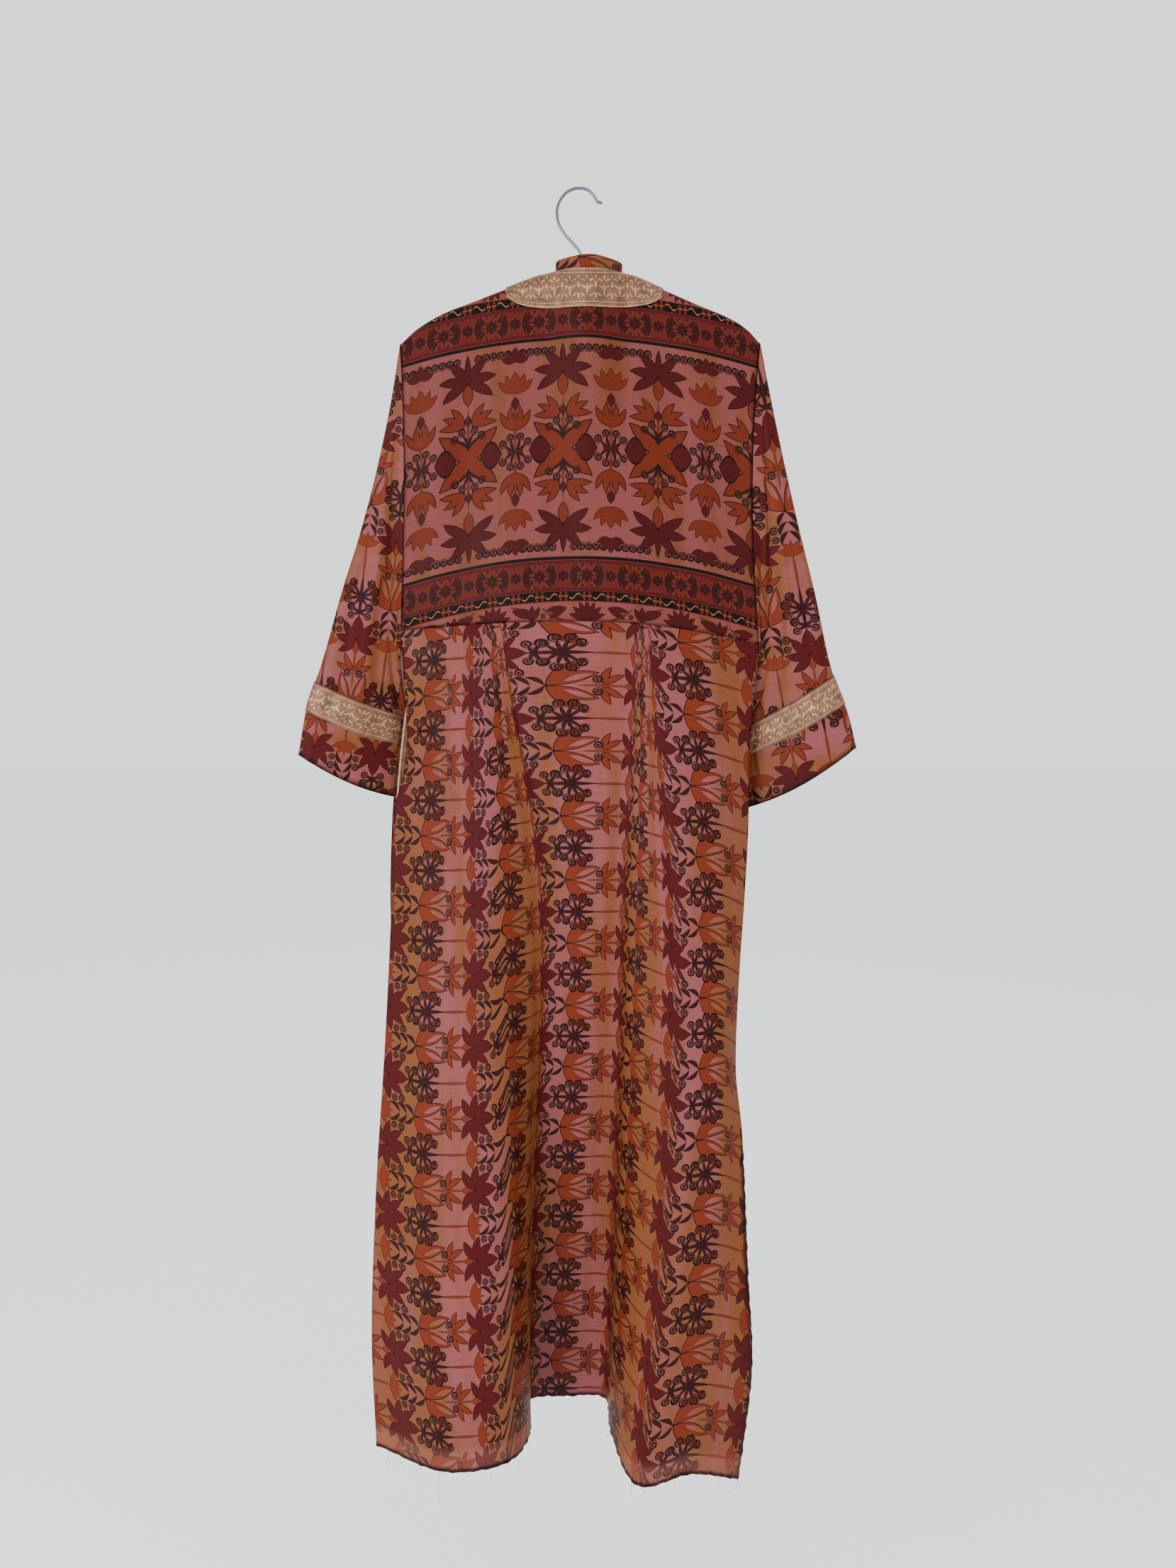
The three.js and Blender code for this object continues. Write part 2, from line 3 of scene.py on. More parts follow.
import bmesh
import bpy
import numpy as np
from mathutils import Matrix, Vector


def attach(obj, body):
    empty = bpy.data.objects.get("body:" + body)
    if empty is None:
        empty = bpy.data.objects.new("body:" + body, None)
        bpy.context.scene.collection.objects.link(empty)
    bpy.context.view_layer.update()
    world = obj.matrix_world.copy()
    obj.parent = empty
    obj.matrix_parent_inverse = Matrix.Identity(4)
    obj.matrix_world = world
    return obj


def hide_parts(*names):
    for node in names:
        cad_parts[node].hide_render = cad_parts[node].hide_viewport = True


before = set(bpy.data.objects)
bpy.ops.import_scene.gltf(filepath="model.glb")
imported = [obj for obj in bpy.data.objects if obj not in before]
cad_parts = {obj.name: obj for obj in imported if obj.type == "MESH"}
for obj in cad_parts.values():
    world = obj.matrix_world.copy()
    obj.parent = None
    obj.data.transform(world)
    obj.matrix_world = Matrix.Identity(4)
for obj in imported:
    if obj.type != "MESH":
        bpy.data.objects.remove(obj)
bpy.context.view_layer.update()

# Camera: stands behind the robe at chest height and looks slightly down at its back.
# The hanger's hook is the origin, so every height below it is negative.


def placed(name, data):
    """Puts an object into the scene that shows this mesh, curve, lamp or camera."""
    thing = bpy.data.objects.new(name, data)
    bpy.context.collection.objects.link(thing)
    return thing


camera = placed("camera", bpy.data.cameras.new("camera"))
camera.data.lens = 27.05
camera.data.sensor_width = 36
camera.location = (0.010, -1.320, -0.519)
camera.rotation_euler = (math.radians(90 - 5.3), 0, 0)
bpy.context.scene.camera = camera

# Back yoke: one panel of a silk sari's border print, cut straight across below and sloped
# along the shoulders. It turns over the hanger at the top, and is sewn to the sleeves at
# both armholes. Its shape is worked out in millimetres.
ROLL = 7.5                  # radius of the cloth where it turns over the hanger
RIDGE_GAP = 0.45            # half the space along the shoulder seams on the hanger
GAP = 0.3                   # space between pieces that are sewn together
UNDERARM = -492             # height where sleeve, front and back meet
LAP = 2.6                   # below the underarm a front's edge lies this far behind the back's
NECK = {"left": -37, "right": 53, "depth": 20}
NECK_BORDER = {"left": -78, "right": 90, "drop": 40, "roundness": 3.2}
YOKE = {"seam": -461, "left_dip": 10, "right_dip": 25, "half_width": 195, "fullness": 16}
# Painted shade: how dark the shade painted along each kind of sewn edge is.
SEAM_SHADE = {"cross_seam": 0.8, "armhole": 0.7, "sleeve_head": 0.75}  # how dark a sewn edge looks
MM = 0.001                  # a millimetre in the scene's metres

ridge_table = [             # top edge of the shoulders: x, z
    (-193, -162), (-175, -146), (-147, -130), (-110, -116), (-73, -102), (-37, -90), (8, -88),
    (53, -90), (87, -103), (125, -119), (166, -136), (184, -148), (197, -162),
]
side_table = {              # armhole and side seam: z, x, depth of the back, front's distance
    "left": [
        (-162, -192, -7.5, 15), (-280, -190, -10, 19), (-400, -193, -12, 21), (-450, -195, -12, 17),
        (-492, -197, -7, LAP), (-605, -191, -12, LAP), (-670, -205, -17, LAP), (-800, -210, -27, LAP),
        (-950, -218, -38, LAP), (-1110, -228, -52, LAP), (-1260, -232, -64, LAP),
        (-1385, -227, -72, LAP), (-1420, -226, -74, LAP),
    ],
    "right": [
        (-162, 195, -7.5, 15), (-250, 190, -9.5, 18.5), (-330, 189, -11, 20), (-420, 193, -12, 20),
        (-492, 199, -7, LAP), (-600, 190, -12, LAP), (-700, 188, -19, LAP), (-870, 178, -32, LAP),
        (-960, 176, -39, LAP), (-1030, 183, -45, LAP), (-1190, 189, -58, LAP), (-1290, 193, -67, LAP),
        (-1385, 183, -73, LAP), (-1420, 178, -75, LAP),
    ],
}


def mix(a, b, t):
    return a + (b - a) * t


def smooth(t):
    t = np.clip(t, 0, 1)
    return t * t * (3 - 2 * t)


def through(knots, values):
    """A smooth curve through knots, rising or falling, and their values."""
    k, v = np.array(knots, float), np.array(values, float)
    if k[0] > k[-1]:
        k, v = k[::-1], v[::-1]
    ahead = np.r_[1:len(k), len(k) - 1]
    behind = np.r_[0, 0:len(k) - 1]
    slope = (v[ahead] - v[behind]) / (k[ahead] - k[behind])

    def value(at):
        i = np.clip(np.searchsorted(k, at, side="right") - 1, 0, len(k) - 2)
        span = k[i + 1] - k[i]
        t = np.clip((at - k[i]) / span, 0, 1)
        rise = (1 + 2 * t) * (1 - t) ** 2 * v[i] + t * t * (3 - 2 * t) * v[i + 1]
        return rise + t * (1 - t) ** 2 * slope[i] * span - t * t * (1 - t) * slope[i + 1] * span

    return value


ridge = through(*zip(*ridge_table))
sides = {}
for side_name, rows in side_table.items():
    z, x, back, apart = zip(*rows)
    sides[side_name] = {
        "x": through(z, x), "back": through(z, back), "apart": through(z, apart),
        "top": float(ridge(x[0])), "inward": 1 if side_name == "left" else -1,
    }
left_side, right_side = sides["left"], sides["right"]


def roll_over(drop):
    """How far the cloth has turned from lying on the hanger (0) to hanging from it (1)."""
    return np.sqrt(1 - (1 - np.clip(drop / ROLL, 0, 1)) ** 2)


def side_depth(side, z, front=False):
    return roll_over(side["top"] - z) * (side["back"](z) + (side["apart"](z) if front else 0))


def seam_height(x):
    dip = np.where(np.asarray(x) < 0, YOKE["left_dip"], YOKE["right_dip"])
    return YOKE["seam"] - dip * (x / YOKE["half_width"]) ** 2


def neck_bulge(x):
    across = np.clip((x - NECK["left"]) / (NECK["right"] - NECK["left"]), 0, 1)
    return np.sin(np.pi * across) ** 1.5


def border_drop(x):
    middle = (NECK_BORDER["left"] + NECK_BORDER["right"]) / 2
    reach = np.clip(np.abs(x - middle) / (NECK_BORDER["right"] - middle), 0, 1)
    return mix(ROLL + 3, NECK_BORDER["drop"], 1 - reach ** NECK_BORDER["roundness"])


def yoke_points(x, drop):
    """The yoke's middle surface at x, this far below the shoulder's top edge."""
    full = ridge(x) - seam_height(x)
    eased = smooth(drop / full)
    neck = neck_bulge(x)
    left_x, right_x = left_side["x"](left_side["top"]), right_side["x"](right_side["top"])
    across = np.clip((x - left_x) / (right_x - left_x), 0, 1)
    edge = mix(
        left_side["back"](mix(left_side["top"], seam_height(-YOKE["half_width"]), drop / full)),
        right_side["back"](mix(right_side["top"], seam_height(YOKE["half_width"]), drop / full)), across)
    depth = edge * mix(roll_over(drop), 1, neck) - YOKE["fullness"] * np.sin(np.pi * across) * eased
    depth -= (NECK["depth"] - ROLL) * neck * (1 - eased)
    return np.stack([x, depth - RIDGE_GAP, ridge(x) - drop], -1)


def yoke_row(drop_at, fine=5):
    """One row across the yoke, from armhole to armhole."""
    line = []
    for start, end, steps in (
        (None, NECK_BORDER["left"], 6 * fine), (NECK_BORDER["left"], NECK["left"], 3 * fine),
        (NECK["left"], NECK["right"], 8 * fine), (NECK["right"], NECK_BORDER["right"], 3 * fine),
        (NECK_BORDER["right"], None, 6 * fine),
    ):
        s = np.arange(1 if line else 0, steps + 1) / steps

        def place(z):
            low = left_side["x"](z) + GAP if start is None else start
            high = right_side["x"](z) - GAP if end is None else end
            return mix(low, high, s)

        first = place(left_side["top"])
        points = yoke_points(first, drop_at(first))
        points[:, 0] = place(points[:, 2])
        if start is None or end is None:
            side = left_side if start is None else right_side
            near = (1 - s if start is None else s) ** 2
            sewn = roll_over(ridge(first) - points[:, 2]) * side["back"](points[:, 2]) - RIDGE_GAP
            points[:, 1] = mix(points[:, 1], sewn, near)
        line.extend(points)
    return np.array(line)


def roll_drop(x, share):
    return mix(share * ROLL, 7.5 * share ** 0.5, neck_bulge(x))


def normals_of(grid, closed=False):
    """Outward normals; columns run left to right as seen from outside, rows run down."""
    if closed:
        across = np.roll(grid, -1, 1) - np.roll(grid, 1, 1)
    else:
        across = np.gradient(grid, axis=1)
    down = np.gradient(grid, axis=0)
    normal = np.cross(down, across)
    return normal / np.maximum(np.linalg.norm(normal, axis=-1, keepdims=True), 1e-9)


def creased(grid, cloth, rows, closed=False):
    """Presses soft troughs (minus) and ridges (plus) into the cloth. Each row is a line on
    the cloth's own millimetres, x0, y0 to x1, y1, then its width and its height."""
    lift = np.zeros(grid.shape[:2])
    for x0, y0, x1, y1, width, height in rows:
        dx, dy = x1 - x0, y1 - y0
        t = np.clip(((cloth[..., 0] - x0) * dx + (cloth[..., 1] - y0) * dy) / (dx * dx + dy * dy), 0, 1)
        away = np.hypot(cloth[..., 0] - x0 - t * dx, cloth[..., 1] - y0 - t * dy)
        lift += height * np.exp(-(away / width) ** 2) * (0.25 + 0.75 * np.sin(np.pi * t))
    return grid + normals_of(grid, closed) * lift[..., None]


def made_of(name, bm):
    """Puts the finished bmesh into the scene as an object."""
    mesh = bpy.data.meshes.new(name)
    bm.to_mesh(mesh)
    bm.free()
    return placed(name, mesh)


def hang(name, grid, cloth, marks, wall=0.7, hem=None, closed=False):
    """Makes a thin sheet from a grid of points in millimetres, with the cloth's own
    millimetres as its UV map and each mark as an attribute. A rolled hem is thicker than
    the wall wherever the mark "edge" says so."""
    if closed:
        grid = np.concatenate([grid, grid[:, :1]], 1)
    count_down, count_across = grid.shape[:2]
    bm = bmesh.new()
    bmesh.ops.create_grid(bm, x_segments=count_across - 1, y_segments=count_down - 1, size=1)
    flat = bm.loops.layers.uv.new("UVMap")
    layers = {mark: bm.verts.layers.float.new(mark) for mark in marks}
    spot = {}
    for vert in bm.verts:
        row = round((1 - vert.co.y) / 2 * (count_down - 1))
        column = round((vert.co.x + 1) / 2 * (count_across - 1))
        spot[vert.index] = row, column
        vert.co = Vector(grid[row, column]) * MM
        for mark, layer in layers.items():
            vert[layer] = float(marks[mark][row, column % marks[mark].shape[1]])
    for face in bm.faces:
        face.smooth = True
        for loop in face.loops:
            loop[flat].uv = cloth[spot[loop.vert.index]] * MM
    if closed:
        bmesh.ops.remove_doubles(bm, verts=bm.verts[:], dist=1e-6)
    piece = made_of(name, bm)
    solid = piece.modifiers.new("cloth thickness", "SOLIDIFY")
    solid.offset = 0
    solid.thickness = wall * MM
    if hem is not None:
        group = piece.vertex_groups.new(name="hem")
        weights = piece.data.attributes["edge"].data
        for vert in piece.data.vertices:
            group.add([vert.index], weights[vert.index].value, "REPLACE")
        solid.thickness = hem * MM
        solid.vertex_group = "hem"
        solid.thickness_vertex_group = wall / hem
    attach(piece, "root")
    return piece


def turned(grid, closed=False):
    """How far the cloth has turned away to the side: 0 where it faces back or front. It sets where the silk's
    tan sheen is painted.
    """
    return np.abs(normals_of(grid, closed)[..., 0])


yoke_shares = [0, 0.05, 0.13, 0.3, 0.5, 0.75, 1]
yoke_grid = [yoke_row(lambda x, s=share: roll_drop(x, s)) for share in yoke_shares]
for step in range(1, 11):
    yoke_grid.append(yoke_row(lambda x: mix(roll_drop(x, 1), border_drop(x), step / 10)))
for step in range(1, 76):
    yoke_grid.append(yoke_row(lambda x: mix(border_drop(x), ridge(x) - seam_height(x), step / 75)))
yoke_grid = np.array(yoke_grid)
# The printed rows droop from the middle towards the armholes.
PRINT_DROOP, DROOP_AT = 27, 185
print_droop = PRINT_DROOP * (yoke_grid[..., 0] / DROOP_AT) ** 2
yoke_cloth = np.stack([yoke_grid[..., 0], yoke_grid[..., 2] + print_droop], -1)
yoke_creases = [
    (-150, -150, -168, -430, 15, 2.2), (-120, -160, -128, -450, 13, -1.6), (-60, -190, -70, -440, 20, 1.5),
    (-18, -200, -12, -455, 16, -1.3), (40, -180, 46, -450, 18, 1.4), (92, -160, 100, -455, 15, -1.8),
    (130, -150, 142, -440, 14, 1.9), (168, -160, 172, -420, 10, -1.4), (-178, -200, -176, -400, 8, -1.2),
    (-185, -330, -140, -300, 8, 1.1), (188, -350, 150, -310, 9, 1.2), (-100, -415, -96, -470, 9, -1.6),
    (70, -420, 74, -480, 8, -1.5),
]
yoke_normals = normals_of(yoke_grid)
fade = np.clip((yoke_grid[..., 2] - yoke_grid[-1:, :, 2]) / 18, 0, 1)
yoke_shape = mix(yoke_grid, creased(yoke_grid, yoke_cloth, yoke_creases), fade[..., None] ** 0.5)
# Painted shade darkens the cloth along the cross seam and both armholes.
yoke_seam_shade = np.zeros(yoke_shape.shape[:2])
yoke_seam_shade[-1] = SEAM_SHADE["cross_seam"]
yoke_seam_shade[9:, (0, -1)] = SEAM_SHADE["armhole"]
back_yoke = hang(
    "back_yoke_cloth", yoke_shape, yoke_cloth, {"turn": turned(yoke_shape), "edge": yoke_seam_shade})
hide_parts("back_yoke")

# Printed silk: a light plain-weave sari silk with a warp and a weft of different colours. It is pink where it
# faces you, and the tan sheen it shows where it turns away is painted into its colour. The print is block-like,
# flat orange, dark red and plum shapes inside dark outlines.


def linear(code):
    """An sRGB hex colour as the shader's linear one."""
    parts = [int(code[i:i + 2], 16) / 255 for i in (1, 3, 5)]
    return (*[c / 12.92 if c <= 0.04045 else ((c + 0.055) / 1.055) ** 2.4 for c in parts], 1)


def add(tree, kind, inputs, **settings):
    """Adds a node with its settings; each input is a value, or the node or socket that feeds it."""
    node = tree.nodes.new("ShaderNode" + kind)
    for name, value in settings.items():
        setattr(node, name, value)
    for key, value in (inputs.items() if isinstance(inputs, dict) else enumerate(inputs)):
        if isinstance(value, bpy.types.Node):
            value = value.outputs[0]
        if isinstance(value, bpy.types.NodeSocket):
            tree.links.new(value, node.inputs[key])
        else:
            node.inputs[key].default_value = value
    return node


def new_material(name):
    """A material, with its node tree and its main shader."""
    material = bpy.data.materials.new(name)
    material.use_nodes = True
    return material, material.node_tree, material.node_tree.nodes["Principled BSDF"]


def on_cloth(tree):
    """The cloth's own millimetres, as a vector and as its x and y."""
    uv = add(tree, "UVMap", [], uv_map="UVMap")
    flat = add(tree, "VectorMath", {0: uv, 3: 1000}, operation="SCALE")
    split = add(tree, "SeparateXYZ", [flat])
    return flat, split.outputs[0], split.outputs[1]


def away(tree, value, middle):
    """How far the value lies from the middle, to either side."""
    off = add(tree, "Math", [value, middle], operation="SUBTRACT")
    return add(tree, "Math", [off], operation="ABSOLUTE")


def waves(tree, value, pitch):
    """A sine that comes once in each pitch."""
    angle = add(tree, "Math", [value, 2 * math.pi / pitch], operation="MULTIPLY")
    return add(tree, "Math", [angle], operation="SINE")


def leaf(tree, place, x, y, angle, length, width, bend=0.0):
    """A pointed leaf from x, y (mm), its middle bent aside by bend half-widths: 1 on its outline."""
    cosine, sine = math.cos(math.radians(angle)), math.sin(math.radians(angle))
    half, side = length / 2, width / 2
    foot = -(x * cosine + y * sine) / half - 1
    along = add(tree, "Math", [place[0], cosine / half, foot], operation="MULTIPLY_ADD")
    along = add(tree, "Math", [place[1], sine / half, along], operation="MULTIPLY_ADD")
    square = add(tree, "Math", [along, along], operation="MULTIPLY")
    start = (x * sine - y * cosine) / side - bend
    off = add(tree, "Math", [place[0], -sine / side, start], operation="MULTIPLY_ADD")
    off = add(tree, "Math", [place[1], cosine / side, off], operation="MULTIPLY_ADD")
    if bend:
        off = add(tree, "Math", [square, bend, off], operation="MULTIPLY_ADD")
    off = add(tree, "Math", [off], operation="ABSOLUTE")
    return add(tree, "Math", [square, off], operation="ADD")


def scroll(tree, place, x, y, radius, way=1, turns=1.7):
    """A thin line wound into a spiral round x, y (mm): under 1 on the line."""
    right = add(tree, "Math", [place[0], 1 / radius, -x / radius], operation="MULTIPLY_ADD")
    up = add(tree, "Math", [place[1], way / radius, -way * y / radius], operation="MULTIPLY_ADD")
    angle = add(tree, "Math", [up, right], operation="ARCTAN2")
    out = add(tree, "Math", [right, right], operation="MULTIPLY")
    out = add(tree, "Math", [up, up, out], operation="MULTIPLY_ADD")
    out = add(tree, "Math", [out], operation="SQRT")
    wind = add(tree, "Math", [angle, -1 / (2 * math.pi)], operation="MULTIPLY")
    wind = add(tree, "Math", [out, turns, wind], operation="MULTIPLY_ADD")
    line = add(tree, "Math", [wind, 0.5], operation="PINGPONG")
    line = add(tree, "Math", [line, 2.7], operation="MULTIPLY")
    return add(tree, "Math", [line, out], operation="MAXIMUM")


def nearest(tree, shapes):
    """The smallest of the shapes' fields, joined one by one as each shape is made."""
    field = next(shapes)
    for shape in shapes:
        field = add(tree, "Math", [field, shape], operation="MINIMUM")
    return field


def motif_group(name, under, leaves, petals, strokes, scrolls, cut=()):
    """A group that turns a place on the cloth (mm) into four fields: orange shapes that lie
    under the others, orange ones on top of them, red petals, and plum strokes and curls.
    cut takes leaf-shaped holes out of the second field."""
    group = bpy.data.node_groups.new(name, "ShaderNodeTree")
    for way in ("Along", "Across"):
        group.interface.new_socket(way, in_out="INPUT", socket_type="NodeSocketFloat")
    for field in ("Under", "Orange", "Red", "Plum"):
        group.interface.new_socket(field, in_out="OUTPUT", socket_type="NodeSocketFloat")
    place = group.nodes.new("NodeGroupInput").outputs
    out = group.nodes.new("NodeGroupOutput")
    for index, rows in enumerate((under, leaves, petals, strokes)):
        if not rows:
            continue
        field = nearest(group, (leaf(group, place, *row) for row in rows))
        for row in cut if index == 1 else ():
            hole = add(group, "Math", [2, leaf(group, place, *row)], operation="SUBTRACT")
            field = add(group, "Math", [field, hole], operation="MAXIMUM")
        if index == 3:
            curls = nearest(group, (scroll(group, place, *row) for row in scrolls))
            field = add(group, "Math", [field, curls], operation="MINIMUM")
        group.links.new(field.outputs[0], out.inputs[index])
    return group


def sprig(count, x, y, angle, step, length, width, bend=0.0):
    """Rows for equal leaves from one foot, each turned by the same step from the last."""
    return [(x, y, angle + step * index, length, width, bend) for index in range(count)]


def curled(count, x, y, angle, step, length, radius):
    """Rows for equal branches from one foot, and for the scroll that ends each of them."""
    branches = sprig(count, x, y, angle, step, length, 3.4, 0.8)
    reach = length + 0.5 * radius
    ends = []
    for index in range(count):
        turn = math.radians(angle + step * index)
        ends.append((x + reach * math.cos(turn), y + reach * math.sin(turn), radius, 1))
    return branches, ends


# The running print: rows of one plant, x along its stem and y to both sides of it, in mm.
# Each flower or bush is a set of equal leaves at even turns, drawn to one rule.
ROW_LENGTH, ROW_PITCH = 231, 37.8
bush, bush_ends = curled(4, 130, 0, 40, 34, 15, 5.2)
side_bush, side_ends = curled(2, 112, 0, 70, 50, 9, 4.6)
running = motif_group(
    "running print",
    under=[*sprig(2, 44, 0, 35, 38, 23, 7.5, 0.5), (22, 0, 0, 50, 2.8), (146, 0, 0, 42, 3)],
    leaves=[
        *sprig(2, 0, 0, 20, 25, 44, 13, 0.3), (62, 0, 0, 15, 8.5), (72, 0, 0, 8, 4),
        *sprig(3, 184, 0, 0, 32, 18, 7, -0.4),
    ],
    cut=[(12, 4.5, 20, 26, 6, 0.3)],
    petals=sprig(4, 79, 0, 0, 42, 27, 10, 0.4),
    strokes=[
        *bush, *side_bush, (101, 0, 0, 53, 4.4),
        *((x, 0, 145, 17, 4.6, -1.2) for x in (211, 221, 231)),
    ],
    scrolls=[*bush_ends, *side_ends, (214, 15, 4.8, 1), (204, 15, 4.2, -1), (40, 7, 4.8, 1)],
)
# A quarter of the border panel: x from a lily's stem to the next tulip's, y from mid-height.
PANEL_REPEAT, PANEL_HALF, PANEL_MIDDLE, PANEL_LILY = 103, 115.5, -275.5, -17
rosette, rosette_ends = curled(2, 51.5, 0, 108, 36, 14, 4.6)
tendrils, tendril_ends = curled(2, 0, 12, 38, 30, 17, 4.6)
panel = motif_group(
    "panel print",
    under=[
        *sprig(3, 4, 34, 5, 27, 28, 8.5, 0.4), *sprig(2, 51.5, 22, 100, 26, 28, 8, 0.6), (0, 0, 90, 56, 3),
        (51.5, 0, 90, 60, 3),
    ],
    leaves=[(-6, -8, 45, 54, 18, 0.2), (0, 56, 90, 26, 12), *sprig(3, 51.5, 62, 90, 26, 24, 8, 0.3)],
    petals=[
        (13, 0, 0, 24, 30), *sprig(4, 0, 80, 90, -40, 32, 11, 0.4), (0, 35, 90, 12, 8), (51.5, 44, 90, 15, 9),
        (51.5, 0, 180, 9, 5), *sprig(3, 51.5, 96, 90, 36, 16, 6.5, 0.3),
    ],
    strokes=rosette + tendrils,
    scrolls=rosette_ends + tendril_ends + [(12 + 8 * place, 105, 4.7, 1) for place in range(5)],
)
# The edging below the bands, half of a repeat: a lotus at each end, leaves and a tulip between.
LOTUS = 9
edging = motif_group(
    "lotus edging",
    under=[(24, 20, -30, 30, 3.6, 1.1), (84, 2, 150, 30, 3.6, 1.1)],
    leaves=[(60, 16, -60, 12, 4), (103, 21, 180, 7, 5), (0, 21, 0, 7, 5)],
    petals=[
        *sprig(4, 0, 19, -90, 24, 21, 6.4), *sprig(4, 103, 19, -90, -24, 21, 6.4),
        *sprig(3, 60, 19, -120, 30, 17, 6.5), *sprig(2, 22, 6, 6, 24, 23, 6.5),
        *sprig(2, 82, 6, 174, -24, 20, 5.5),
    ],
    strokes=[(46, 20, 0, 10, 2)],
    scrolls=[(48, 14, 3, 1)],
)
# A quarter of the red band between the black lines: star flower at x 0, cross at x 25.75.
vine = motif_group(
    "vine band",
    under=[],
    leaves=[],
    petals=[*sprig(3, 0.6, 0, 0, 45, 7, 3.3), *sprig(3, 25.1, 0, 90, 45, 8, 3.3)],
    strokes=[*sprig(4, 7, 1, 0, 24, 12, 3, -0.8), *sprig(2, 21, 5, 165, -30, 10, 2.8, 0.8)],
    scrolls=[(14, 10, 2.8, 1), (21, 11, 2.4, -1)],
)


def painted(tree, colour, field, limit, paint):
    """Lays a paint over the colour wherever the field is under its limit."""
    inside = add(tree, "Math", [field, limit], operation="LESS_THAN")
    return add(tree, "Mix", {0: inside, 6: colour, 7: linear(paint)}, data_type="RGBA").outputs[2]


def cell(tree, value, pitch, shift=0.0):
    """Distance to the middle of the nearest repeat, which comes once in each pitch."""
    moved = add(tree, "Math", [value, shift + pitch / 2], operation="ADD")
    inside = add(tree, "Math", [moved, pitch], operation="FLOORED_MODULO")
    return add(tree, "Math", [inside, pitch / 2], operation="SUBTRACT")


INK, ORANGE, RED, PLUM, BLACK = "#120304", "#642310", "#42090c", "#2b080c", "#060507"
# The border's bands, measured from the panel's edge outwards (mm).
BAND = {"height": 49, "vine": 20.8, "vine_half": 12.8, "wave": 42.8, "wave_pitch": 14}


